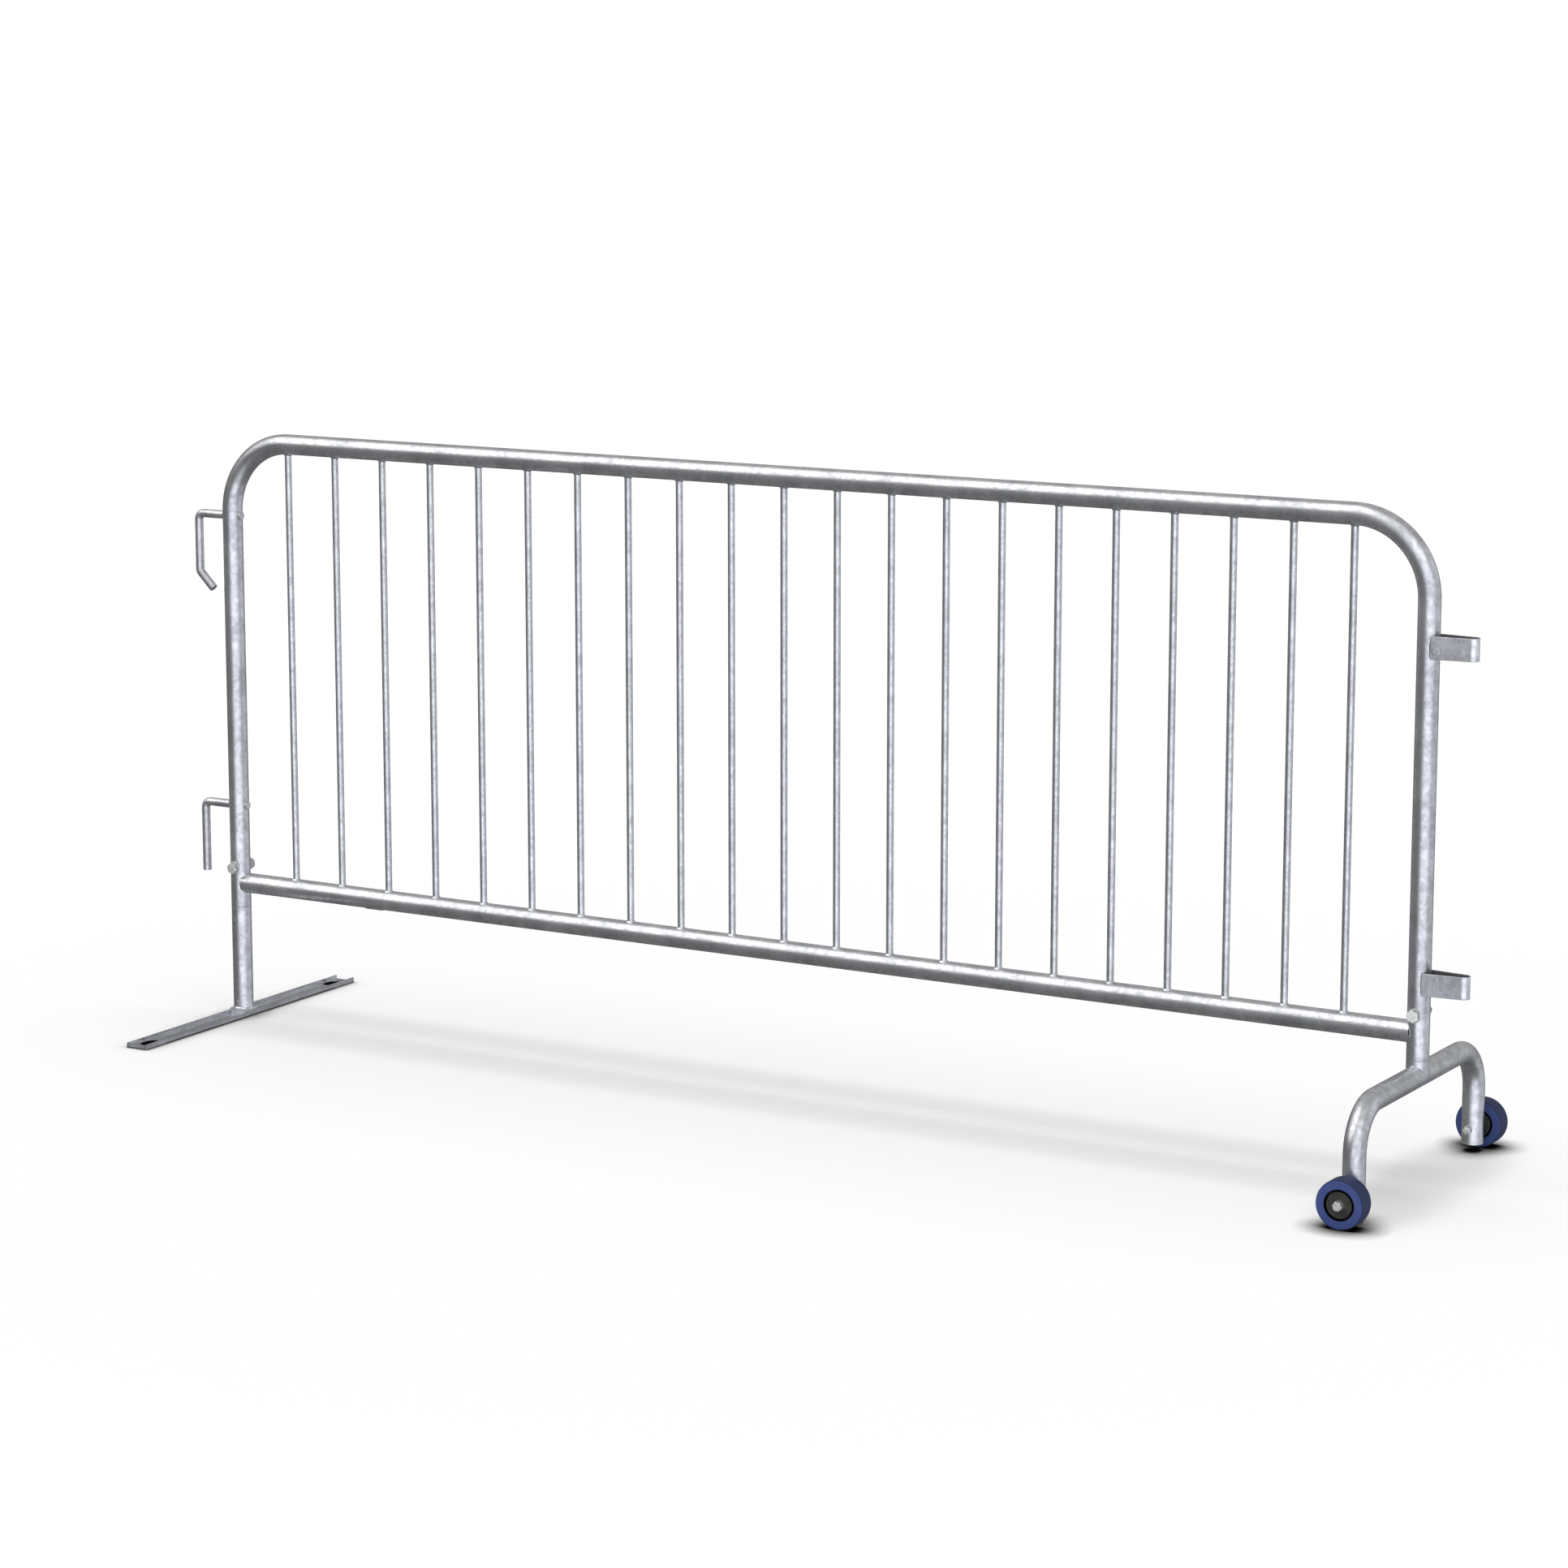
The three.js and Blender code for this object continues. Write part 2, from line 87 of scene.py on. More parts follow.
SLEEVE = (6 * MM, 5.1 * MM)     # outer and inner radius
TYRE_BORE = 26 * MM
HUB = {"bore": 10.3 * MM, "face": 22 * MM, "seat": 25.7 * MM, "half_rim": 8 * MM}
SINK = 0.2 * MM                 # how far a cut tube end reaches into the tube it meets


# ------------------------------------ places read from the CAD

hoop_lo, hoop_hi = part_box("frame_hoop")
TUBE_R = hoop_hi.y
TUBE_BORE = TUBE_R - TUBE_WALL
LEG_X = hoop_hi.x - TUBE_R
TOP_Z = hoop_hi.z - TUBE_R
LEG_END_Z = hoop_lo.z

rail_lo, rail_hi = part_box("bottom_rail")
RAIL_Z = (rail_lo.z + rail_hi.z) / 2
RAIL_TRIM = LEG_X - rail_hi.x
UPRIGHT_COUNT = sum(name.startswith("upright_") for name in frame["nodes"])

bridge_lo, bridge_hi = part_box("bridge_foot_tube")
BRIDGE_Z = bridge_hi.z - TUBE_R
BRIDGE_SPAN = bridge_hi.y - TUBE_R
BRIDGE_END_Z = bridge_lo.z

tyre_lo, tyre_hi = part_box("front_wheel_tyre")
AXLE_X = (tyre_lo.x + tyre_hi.x) / 2
AXLE_Z = (tyre_lo.z + tyre_hi.z) / 2


def tube_back(offset):
    """How far the frame tube's surface stands from its middle plane, at an offset from the axis."""
    return math.sqrt(max(TUBE_R**2 - offset**2, 0))


# ------------------------------------ mesh building

def face_outwards(mesh):
    shape = bmesh.new()
    shape.from_mesh(mesh)
    bmesh.ops.recalc_face_normals(shape, faces=shape.faces)
    shape.to_mesh(mesh)
    shape.free()


def shade_evenly(obj, sharp):
    """Smooth shading, creased above sharp degrees, in which flat faces stay flat."""
    obj.data.polygons.foreach_set("use_smooth", [True] * len(obj.data.polygons))
    obj.data.set_sharp_from_angle(angle=math.radians(sharp))
    even = obj.modifiers.new("even_shading", "WEIGHTED_NORMAL")
    even.mode = "FACE_AREA"
    even.weight = 80
    even.keep_sharp = True


def make(name, verts, faces, material, sharp=35.0):
    mesh = bpy.data.meshes.new(name)
    mesh.from_pydata([tuple(v) for v in verts], [], faces)
    mesh.validate()
    face_outwards(mesh)
    mesh.materials.append(material)
    obj = bpy.data.objects.new(name, mesh)
    bpy.context.scene.collection.objects.link(obj)
    shade_evenly(obj, sharp)
    return obj


def turns(count):
    """Angles that share a full turn evenly."""
    return [2 * math.pi * k / count for k in range(count)]


def grid(rings, close_across=True, close_along=False):
    """Vertices and quads of a grid of equal rings."""
    verts = [v for ring in rings for v in ring]
    n, m = len(rings), len(rings[0])
    faces = []
    for i in range(n if close_along else n - 1):
        for j in range(m if close_across else m - 1):
            a, b = i * m + j, i * m + (j + 1) % m
            c, d = ((i + 1) % n) * m + (j + 1) % m, ((i + 1) % n) * m + j
            faces.append((a, b, c, d))
    return verts, faces


def capped(rings):
    """A grid of rings with a face across each end."""
    verts, faces = grid(rings)
    count = len(rings[0])
    last = len(verts) - count
    faces.append(tuple(range(count))[::-1])
    faces.append(tuple(range(last, last + count)))
    return verts, faces


def place(obj, body, nodes):
    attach(obj, body)
    if nodes:
        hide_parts(*nodes)
    return obj


def bent(corners, radius, steps=20):
    """Points and tangents along straight runs joined by round bends."""
    corners = [Vector(c) for c in corners]
    out = [(corners[0], (corners[1] - corners[0]).normalized())]
    for before, corner, after in zip(corners, corners[1:], corners[2:]):
        into, away = (corner - before).normalized(), (after - corner).normalized()
        turn = into.angle(away)
        back = radius * math.tan(turn / 2)
        axis = into.cross(away).normalized()
        inward = axis.cross(into)
        centre = corner - into * back + inward * radius
        for k in range(steps + 1):
            spin = Matrix.Rotation(turn * k / steps, 3, axis)
            out.append((centre - spin @ inward * radius, spin @ into))
    out.append((corners[-1], (corners[-1] - corners[-2]).normalized()))
    return out


def straight(start, end):
    """The path of a straight tube."""
    start, end = Vector(start), Vector(end)
    along = (end - start).normalized()
    return [(start, along), (end, along)]


def ring_at(point, tangent, side, radius, count):
    up = side.cross(tangent)
    return [point + side * (radius * math.cos(a)) + up * (radius * math.sin(a)) for a in turns(count)]


def lipped(path, depth):
    """The path with its ends split for a small rounded lip: (point, tangent, shrink)."""
    def lip(end, inwards, shares):
        point, tangent = end
        out = []
        for share in shares:
            shrink = depth * (1 - math.sqrt(1 - (1 - share) ** 2))
            out.append((point + tangent * (inwards * depth * share), tangent, shrink))
        return out

    shares = (0.0, 0.3, 1.0)
    middle = [(point, tangent, 0.0) for point, tangent in path[1:-1]]
    return lip(path[0], 1, shares) + middle + lip(path[-1], -1, shares[::-1])


def tube(name, path, side, outer, inner, material, count=48, lip=0.5 * MM):
    """A bent tube, or a rod when inner is 0, with rounded end edges."""
    side = Vector(side)
    line = lipped(path, lip)
    rings = [ring_at(p, t, side, outer - s, count) for p, t, s in line]
    if inner == 0:
        return make(name, *capped(rings), material)
    rings += [ring_at(p, t, side, inner + s, count) for p, t, s in reversed(line)]
    return make(name, *grid(rings, close_along=True), material)


def turned(name, profile, centre, axis, material, count=96, closed=True, sharp=30.0):
    """A lathe form: profile is (radius, distance along axis) pairs."""
    axis = Vector(axis)
    side = Vector((1, 0, 0)) if abs(axis.x) < 0.5 else Vector((0, 0, 1))
    rings = [ring_at(Vector(centre) + axis * d, axis, side, r, count) for r, d in profile]
    shape = grid(rings, close_along=True) if closed else capped(rings)
    return make(name, *shape, material, sharp)


def mirrored(profile):
    """A lathe profile followed by its mirror image beyond the middle plane."""
    return profile + [(r, -d) for r, d in reversed(profile)]


def join(name, objs):
    """Joins meshes into the first one, keeping their materials."""
    for o in bpy.context.scene.objects:
        o.select_set(False)
    for o in objs:
        o.select_set(True)
    bpy.context.view_layer.objects.active = objs[0]
    bpy.ops.object.join()
    objs[0].name = objs[0].data.name = name
    return objs[0]


def turn_about(obj, centre, degrees):
    """Turns a mesh about the Y line through (x, z)."""
    to = Matrix.Translation((centre[0], 0, centre[1]))
    obj.data.transform(to @ Matrix.Rotation(math.radians(degrees), 4, "Y") @ to.inverted())


def bead(name, upper, lower, outward, bulge, material, closed=True, seed=0, rows=6):
    """A weld bead between two toe lines, with the ripples the torch leaves."""
    phase = random.Random(seed).random() * 50
    rings = []
    for a, b, o in zip(upper, lower, outward):
        a, b, o = Vector(a), Vector(b), Vector(o).normalized()
        here = (a + b) / 2
        lumps = 1 + 0.35 * noise.noise(here * 420 + Vector((phase, 0, 0)))
        ripple = 1 + 0.12 * math.sin(here.length * 2400 + phase)
        row = []
        for r in range(rows + 1):
            s = r / rows
            row.append(a.lerp(b, s) + o * (bulge * lumps * ripple * math.sin(math.pi * s)))
        rings.append(row)
    return make(name, *grid(rings, close_across=False, close_along=closed), material, 80.0)


def dome(name, centre, axis, radius, rise, material):
    """A low round pip that eases into the surface it stands on."""
    axis = Vector(axis).normalized()
    side = axis.orthogonal().normalized()
    rings = []
    for k in range(9):
        s = k / 8
        level = rise * (s * s * (3 - 2 * s)) - 0.03 * MM
        rings.append(ring_at(Vector(centre) + axis * level, axis, side, max(radius * (1 - s), 1e-5), 24))
    return make(name, *grid(rings), material, 60)


def swirl(name, centre, axis, radius, material):
    """A run of zinc that froze as an uneven ring round a low middle."""
    axis = Vector(axis).normalized()
    side = axis.orthogonal().normalized()
    up = side.cross(axis)
    rings = []
    for k in range(17):
        s = 1 - k / 16
        ring = []
        for a in turns(40):
            out = side * math.cos(a) + up * math.sin(a)
            uneven = 1 + 0.3 * noise.noise(out * 0.9 + Vector((4.0, 0, 0)))
            crest = math.exp(-((s - 0.55) / 0.22) ** 2) * (0.8 + 0.5 * noise.noise(out * 1.1))
            middle = 0.3 * math.exp(-(s / 0.3) ** 2)
            level = 0.3 * MM * (crest + middle) + 0.06 * MM * (1 - s) - 0.05 * MM * s
            ring.append(Vector(centre) + out * max(radius * s * uneven, 1e-5) + axis * level)
        rings.append(ring)
    return make(name, *grid(rings), material, 60)


# ------------------------------------ material building

def new_material(name):
    material = bpy.data.materials.new(name)
    material.use_nodes = True
    tree = material.node_tree
    coords = tree.nodes.new("ShaderNodeTexCoord").outputs["Object"]
    return material, tree, tree.nodes["Principled BSDF"], coords


def node(tree, kind, **values):
    n = tree.nodes.new(kind)
    for key, value in values.items():
        if key in n.inputs:
            n.inputs[key].default_value = value
        else:
            setattr(n, key, value)
    return n


def ramp(tree, fac, stops):
    """A colour that eases through stops, which are (position, colour) pairs."""
    n = tree.nodes.new("ShaderNodeValToRGB")
    n.color_ramp.interpolation = "EASE"
    while len(n.color_ramp.elements) < len(stops):
        n.color_ramp.elements.new(0.5)
    for element, (at, colour) in zip(n.color_ramp.elements, stops):
        element.position = at
        element.color = (*colour, 1.0)
    tree.links.new(fac, n.inputs["Fac"])
    return n.outputs["Color"]


def maths(tree, operation, a, b=None):
    n = tree.nodes.new("ShaderNodeMath")
    n.operation = operation
    for socket, value in zip(n.inputs, (a, b)):
        if value is None:
            continue
        if isinstance(value, (int, float)):
            socket.default_value = value
        else:
            tree.links.new(value, socket)
    return n.outputs[0]


def blended(tree, first, first_share, second, second_share):
    """The sum of two values, each times its share."""
    return maths(tree, "ADD", maths(tree, "MULTIPLY", first, first_share),
                 maths(tree, "MULTIPLY", second, second_share))


def split_xyz(tree, vector):
    n = tree.nodes.new("ShaderNodeSeparateXYZ")
    tree.links.new(vector, n.inputs[0])
    return n.outputs


def noise_at(tree, coords, scale, detail=3.0, rough=0.55, stretch=(1, 1, 1), warp=0.0):
    mapping = node(tree, "ShaderNodeMapping")
    mapping.inputs["Scale"].default_value = stretch
    tree.links.new(coords, mapping.inputs["Vector"])
    n = node(tree, "ShaderNodeTexNoise", Scale=scale, Detail=detail, Roughness=rough, Distortion=warp)
    tree.links.new(mapping.outputs["Vector"], n.inputs["Vector"])
    return n.outputs["Fac"]


def bumps(tree, shader, layers):
    """Chains height layers (height, distance, strength) onto the shader's normal."""
    last = None
    for height, distance, strength in layers:
        b = node(tree, "ShaderNodeBump", Strength=strength, Distance=distance)
        tree.links.new(height, b.inputs["Height"])
        if last is not None:
            tree.links.new(last, b.inputs["Normal"])
        last = b.outputs["Normal"]
    tree.links.new(last, shader.inputs["Normal"])


def mapped(tree, value, start, stop, low, high, kind="LINEAR"):
    """Runs from low to high as the value runs from start to stop."""
    n = tree.nodes.new("ShaderNodeMapRange")
    n.interpolation_type = kind
    for key, v in (("From Min", start), ("From Max", stop), ("To Min", low), ("To Max", high)):
        n.inputs[key].default_value = v
    tree.links.new(value, n.inputs["Value"])
    return n.outputs["Result"]


def step(tree, value, start, stop, low, high):
    return mapped(tree, value, start, stop, low, high, "SMOOTHSTEP")


def tinted(tree, colour, factor):
    """The colour times a factor."""
    n = node(tree, "ShaderNodeVectorMath", operation="SCALE")
    tree.links.new(colour, n.inputs[0])
    tree.links.new(factor, n.inputs["Scale"])
    return n.outputs["Vector"]


def from_axle(tree, coords):
    """Distance of a point from the wheels' shared axle line."""
    xyz = split_xyz(tree, coords)
    across = maths(tree, "SUBTRACT", xyz["X"], AXLE_X)
    up = maths(tree, "SUBTRACT", xyz["Z"], AXLE_Z)
    squares = maths(tree, "ADD", maths(tree, "MULTIPLY", across, across), maths(tree, "MULTIPLY", up, up))
    return maths(tree, "SQRT", squares)


# ------------------------------------ materials

def galvanised(name, dark, light, rough=(0.26, 0.42), cloud=16.0, mottle=95.0, relief=1.0,
               stretch=(1, 1, 1), painted_light=None):
    """Hot-dip zinc: cloudy patches, a faint spangle and a slightly wavy skin.
    The last argument, (axis, start, stop, factor), paints light: beyond that place the colour is multiplied
    by the factor, a painted highlight above 1 and painted shade below 1."""
    material, tree, shader, coords = new_material(name)
    clouds = noise_at(tree, coords, cloud, 3.0, 0.55, stretch, 0.3)
    spots = noise_at(tree, coords, mottle, 5.0, 0.65, stretch, 0.15)
    fine = noise_at(tree, coords, 900.0, 2.0, 0.5)
    cells = node(tree, "ShaderNodeTexVoronoi", Scale=170.0)
    tree.links.new(coords, cells.inputs["Vector"])
    spangle = tree.nodes.new("ShaderNodeSeparateColor")
    tree.links.new(cells.outputs["Color"], spangle.inputs["Color"])
    mixed = blended(tree, clouds, 0.4, spots, 0.5)
    mixed = maths(tree, "ADD", mixed, maths(tree, "MULTIPLY", spangle.outputs["Red"], 0.04))
    mixed = maths(tree, "ADD", mixed, 0.03)
    colour = ramp(tree, mixed, [(0.36, dark), (0.66, light)])
    if painted_light:
        axis, start, stop, factor = painted_light
        beyond = step(tree, split_xyz(tree, coords)[axis], start, stop, 1.0, factor)
        colour = tinted(tree, colour, beyond)
    tree.links.new(colour, shader.inputs["Base Color"])
    shader.inputs["Metallic"].default_value = 1.0
    smooth, matt = rough
    tree.links.new(mapped(tree, spots, 0.35, 0.65, matt, smooth), shader.inputs["Roughness"])
    bumps(tree, shader, [(clouds, 2.0 * MM, 0.30 * relief), (spots, 0.5 * MM, 0.30 * relief),
                         (fine, 0.05 * MM, 0.15)])
    return material


def zinc_plate(name, metallic, tone=1.0):
    """Bright plated steel, patchy where the plating is dull."""
    material, tree, shader, coords = new_material(name)
    patches = noise_at(tree, coords, 320.0, 4.0, 0.65)
    grain = noise_at(tree, coords, 1700.0, 3.0, 0.6)
    dull = (0.62 * tone, 0.63 * tone, 0.62 * tone)
    bright = (0.95 * tone, 0.955 * tone, 0.945 * tone)
    tree.links.new(ramp(tree, patches, [(0.35, dull), (0.7, bright)]), shader.inputs["Base Color"])
    shader.inputs["Metallic"].default_value = metallic
    tree.links.new(mapped(tree, patches, 0.0, 1.0, 0.42, 0.26), shader.inputs["Roughness"])
    bumps(tree, shader, [(patches, 0.15 * MM, 0.35), (grain, 0.05 * MM, 0.3)])
    return material


def tread_rubber():
    """Blue-violet elastomer, finely grained, with painted shade: darker on the tread and inside its bore."""
    material, tree, shader, coords = new_material("wheel_tread")
    patches = noise_at(tree, coords, 60.0, 4.0, 0.6, warp=0.5)
    scuffs = noise_at(tree, coords, 420.0, 4.0, 0.7, (1, 0.25, 1))
    grain = noise_at(tree, coords, 2600.0, 2.0, 0.5)
    mixed = blended(tree, patches, 0.6, scuffs, 0.4)
    colour = ramp(tree, mixed, [(0.3, (0.033, 0.055, 0.178)), (0.5, (0.041, 0.066, 0.207)),
                                (0.75, (0.060, 0.088, 0.238))])
    radius = from_axle(tree, coords)
    # Painted shade: the tread is painted 0.42 times as dark, and the wall of the bore 0.06 times.
    tread_shade = step(tree, radius, 39.2 * MM, 40.4 * MM, 1.0, 0.42)
    bore = step(tree, radius, 26.05 * MM, 26.7 * MM, 0.06, 1.0)
    shaded = tinted(tree, colour, maths(tree, "MULTIPLY", tread_shade, bore))
    tree.links.new(shaded, shader.inputs["Base Color"])
    tree.links.new(mapped(tree, mixed, 0.0, 1.0, 0.42, 0.62), shader.inputs["Roughness"])
    shader.inputs["Specular IOR Level"].default_value = 0.25
    bumps(tree, shader, [(scuffs, 0.12 * MM, 0.3), (grain, 0.03 * MM, 0.25)])
    return material


def moulded(name, dark, light, rough, recess=None):
    """Moulded plastic. Beyond the radius called recess it is shaded, as the gap round a hub is."""
    material, tree, shader, coords = new_material(name)
    patches = noise_at(tree, coords, 90.0, 3.0, 0.55)
    grain = noise_at(tree, coords, 1500.0, 3.0, 0.6)
    colour = ramp(tree, patches, [(0.3, dark), (0.7, light)])
    if recess:
        beyond = step(tree, from_axle(tree, coords), recess, recess + 0.5 * MM, 1.0, 0.15)
        colour = tinted(tree, colour, beyond)
    tree.links.new(colour, shader.inputs["Base Color"])
    tree.links.new(mapped(tree, grain, 0.0, 1.0, rough - 0.08, rough + 0.08), shader.inputs["Roughness"])
    bumps(tree, shader, [(grain, 0.06 * MM, 0.3)])
    return material


GALV_TUBE = galvanised("galvanised_tube", (0.50, 0.508, 0.528), (0.80, 0.81, 0.835))
GALV_BAR = galvanised("galvanised_bar", (0.53, 0.538, 0.558), (0.81, 0.82, 0.845),
                      cloud=26.0, mottle=120.0)
GALV_ROD = galvanised("hook_rod", (0.50, 0.506, 0.522), (0.76, 0.766, 0.786), (0.32, 0.46), 26.0, 120.0)
# The loop's round nose, from 76 to 80 mm past the leg's axis outwards, is painted 1.3 times lighter: a
# painted highlight.
GALV_STRAP = galvanised("loop_strap", (0.50, 0.504, 0.526), (0.76, 0.765, 0.795), (0.3, 0.46), 24.0, 120.0,
                        1.4, painted_light=("X", LEG_X + 76 * MM, LEG_X + 80 * MM, 1.3))
# A darker copy of the zinc for painted shade: the strap loops' inner side and the channel's cut ends.
GALV_SHADE = galvanised("zinc_painted_shade", (0.26, 0.262, 0.275), (0.42, 0.424, 0.44), (0.4, 0.55),
                        24.0, 120.0)
# The outer face of the channel's flange on the +X side is painted 0.68 times as dark: painted shade.
GALV_PLATE = galvanised("foot_channel", (0.43, 0.435, 0.455), (0.69, 0.695, 0.72), (0.13, 0.27), 18.0, 130.0,
                        0.9, (1, 0.14, 1), painted_light=("X", -LEG_X + 21.4 * MM, -LEG_X + 21.9 * MM, 0.68))
# Near-black zinc for the walls of the anchor slots: painted shade.
SLOT_SHADE = galvanised("slot_painted_shade", (0.004, 0.004, 0.005), (0.022, 0.022, 0.024), (0.7, 0.85), 40.0, 200.0)
GALV_INNER = galvanised("spigot_tube", (0.36, 0.365, 0.37), (0.52, 0.525, 0.53), (0.4, 0.55), 20.0, 110.0)
WELD = galvanised("weld_metal", (0.52, 0.525, 0.54), (0.84, 0.845, 0.865), (0.3, 0.45), 60.0, 300.0, 0.8)
ZINC = zinc_plate("zinc_fastener", 0.65)
# A less metallic copy of the zinc, which reads brighter: painted light for the bridge foot's bolt head.
ZINC_PAINTED_LIGHT = zinc_plate("zinc_fastener_painted_light", 0.25)
# A copy of the zinc at half its brightness, for the hexagons' flanks: painted shade.
ZINC_SHADED_SIDES = zinc_plate("zinc_fastener_shaded_sides", 0.5, 0.5)
TREAD = tread_rubber()
HUB_NYLON = moulded("wheel_hub", (0.022, 0.022, 0.018), (0.042, 0.042, 0.034), 0.5, recess=21.6 * MM)
BUSH_NYLON = moulded("wheel_bush", (0.05, 0.05, 0.045), (0.085, 0.085, 0.075), 0.45)


# ------------------------------------ frame

hoop_path = bent([(-LEG_X, 0, LEG_END_Z), (-LEG_X, 0, TOP_Z), (LEG_X, 0, TOP_Z), (LEG_X, 0, LEG_END_Z)],
                 CORNER, 28)
hoop = tube("frame_tube", hoop_path, (0, 1, 0), TUBE_R, TUBE_BORE, GALV_TUBE, 64, 0.3 * MM)
place(hoop, "barrier", ["frame_hoop"])


def rail_tube():
    """The bottom rail, saddle-cut to the legs with its tips trimmed off."""
    tip = RAIL_TRIM + 1.8 * MM
    rings = []
    for radius, sign in ((TUBE_R, -1), (TUBE_R, 1), (TUBE_BORE, 1), (TUBE_BORE, -1)):
        ring = []
        for a in turns(64):
            y, z = radius * math.cos(a), radius * math.sin(a)
            ring.append(Vector((sign * (LEG_X - max(tube_back(y) - SINK, tip)), y, RAIL_Z + z)))
        rings.append(ring)
    return make("bottom_rail_tube", *grid(rings, close_along=True), GALV_TUBE)


place(rail_tube(), "barrier", ["bottom_rail"])


def round_bar(index):
    """One upright with a ring of weld where it meets each rail."""
    lo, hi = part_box(f"upright_{index:02d}")
    x, radius = (lo.x + hi.x) / 2, hi.y

    def rail_surface(px, py, top):
        """Height of the near side of the rail above or below the point."""
        drop = tube_back(py)
        if not top:
            return RAIL_Z + drop
        past = abs(px) - (LEG_X - CORNER)
        if past <= 0:
            return TOP_Z - drop
        return TOP_Z - CORNER + math.sqrt((CORNER - drop) ** 2 - past**2)

    rings = []
    for top in (False, True):
        ring = []
        for a in turns(32):
            px, py = x + radius * math.cos(a), radius * math.sin(a)
            ring.append(Vector((px, py, rail_surface(px, py, top) + (0.3 if top else -0.3) * MM)))
        rings.append(ring)
    parts = [make(f"bar_{index:02d}", *grid(rings), GALV_BAR)]
    for top in (False, True):
        sign = -1 if top else 1
        upper, lower, outward = [], [], []
        for a in turns(40):
            grow = 1 + 0.25 * noise.noise(Vector((x * 31, math.cos(a) * 1.7, math.sin(a) * 1.7 + sign)))
            px, py = x + radius * math.cos(a), radius * math.sin(a)
            upper.append((px, py, rail_surface(px, py, top) + sign * 2.2 * MM * grow))
            toe = radius + 2.0 * MM * grow
            qx, qy = x + toe * math.cos(a), toe * math.sin(a)
            lower.append((qx, qy, rail_surface(qx, qy, top) - sign * 0.15 * MM))
            outward.append((math.cos(a), math.sin(a), sign))
        parts.append(bead("bead", upper, lower, outward, 0.1 * MM, WELD, seed=index * 2 + top))
    bar = join(f"bar_{index:02d}", parts)
    return place(bar, "barrier", [f"upright_{index:02d}"])


for number in range(1, UPRIGHT_COUNT + 1):
    round_bar(number)


def rail_weld(name, sign):
    """Fillets above and below the rail where it meets a leg; the sides stay open where it was trimmed."""
    parts = []
    for half in (-1, 1):
        upper, lower, outward = [], [], []
        for k in range(41):
            a = math.radians(-66 + 132 * k / 40) + math.pi / 2 * half
            fade = math.sin(math.pi * (k + 2) / 44) ** 0.5
            size = 0.8 * MM * fade
            y, z = TUBE_R * math.cos(a), TUBE_R * math.sin(a)
            toe_y = y * (1 + 0.02 * fade)
            toe_z = RAIL_Z + z + math.copysign(size, z)
            upper.append((sign * (LEG_X - tube_back(y) - size), y, RAIL_Z + z))
            lower.append((sign * (LEG_X - tube_back(toe_y) + 0.1 * MM), toe_y, toe_z))
            outward.append((-sign, math.cos(a), math.sin(a)))
        parts.append(bead("rail_bead", upper, lower, outward, 0.1 * MM, GALV_TUBE, False, 90 + half))
    return place(join(name, parts), "barrier", [])


rail_weld("rail_weld_left", -1)
rail_weld("rail_weld_right", 1)


def rail_patch():
    """A thin raised strip along the underside of the rail, near the hook end."""
    start, stop = -915.6 * MM, -875 * MM
    rows = []
    for i in range(25):
        s = i / 24
        end = min(1.0, min(s, 1 - s) * 12)
        row = []
        for j in range(17):
            t = j / 16
            a = math.radians(-120 + 60 * t)
            side = min(1.0, min(t, 1 - t) * 6)
            r = TUBE_R + 1.4 * MM * math.sqrt(end * side) - 0.1 * MM
            row.append(Vector((start + (stop - start) * s, r * math.cos(a), RAIL_Z + r * math.sin(a))))
        rows.append(row)
    return make("rail_patch", *grid(rows, close_across=False), GALV_TUBE, 50)


place(rail_patch(), "barrier", [])


# ------------------------------------ hooks

def hook_weld(rod, z):
    """The ring of weld where a hook's rod meets the outer side of its leg."""
    upper, lower, outward = [], [], []

    def on_leg(out, reach):
        y = out.y * reach
        return Vector((-LEG_X - tube_back(y), y, z + out.z * reach))

    for a in turns(48):
        out = Vector((0, math.cos(a), math.sin(a)))
        grow = 1 + 0.2 * noise.noise(Vector((9.3, math.cos(a) * 1.5, math.sin(a) * 1.5)))
        upper.append(on_leg(out, rod) - Vector((2.2 * MM * grow, 0, 0)))
        lower.append(on_leg(out, rod + 2.2 * MM * grow) + Vector((0.15 * MM, 0, 0)))
        outward.append(out + Vector((-1, 0, 0)))
    return bead("weld", upper, lower, outward, 0.2 * MM, WELD, seed=3)


def hook(name, slanted):
    """A bent rod; the upper one ends in a tip that slants back towards the leg."""
    lo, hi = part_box(name)
    rod = hi.y
    x, z = lo.x + rod, hi.z - rod
    corners = [(hi.x + 1.3 * MM, 0, z), (x, 0, z)]
    if slanted:
        knee_z = lo.z + rod * math.sin(math.radians(45)) + HOOK_TIP
        corners += [(x, 0, knee_z), (x + HOOK_TIP, 0, knee_z - HOOK_TIP)]
    else:
        corners.append((x, 0, lo.z))
    body = tube(name + "_rod", bent(corners, HOOK_BEND, 14), (0, 1, 0), rod, 0, GALV_ROD, 40, 1.2 * MM)
    return place(join(name + "_rod", [body, hook_weld(rod, z)]), "barrier", [name])


hook("hook_upper", True)
hook("hook_lower", False)


# ------------------------------------ loops

def strap_line(reach, offset, count=18):
    """A line along the strap, offset inwards from its outer face, from cut end round the nose to cut end."""
    centre = reach - LOOP_NOSE
    span = math.hypot(centre - LOOP_ROOT, TUBE_R)
    lean = math.atan2(TUBE_R, centre - LOOP_ROOT) - math.asin(LOOP_NOSE / span)
    radius = LOOP_NOSE - offset
    root_y = TUBE_R - offset / math.cos(lean)
    points = [(LOOP_ROOT, -root_y)]
    for k in range(2 * count + 1):
        a = (math.pi / 2 - lean) * (k / count - 1)
        points.append((centre + radius * math.cos(a), radius * math.sin(a)))
    points.append((LOOP_ROOT, root_y))
    return points


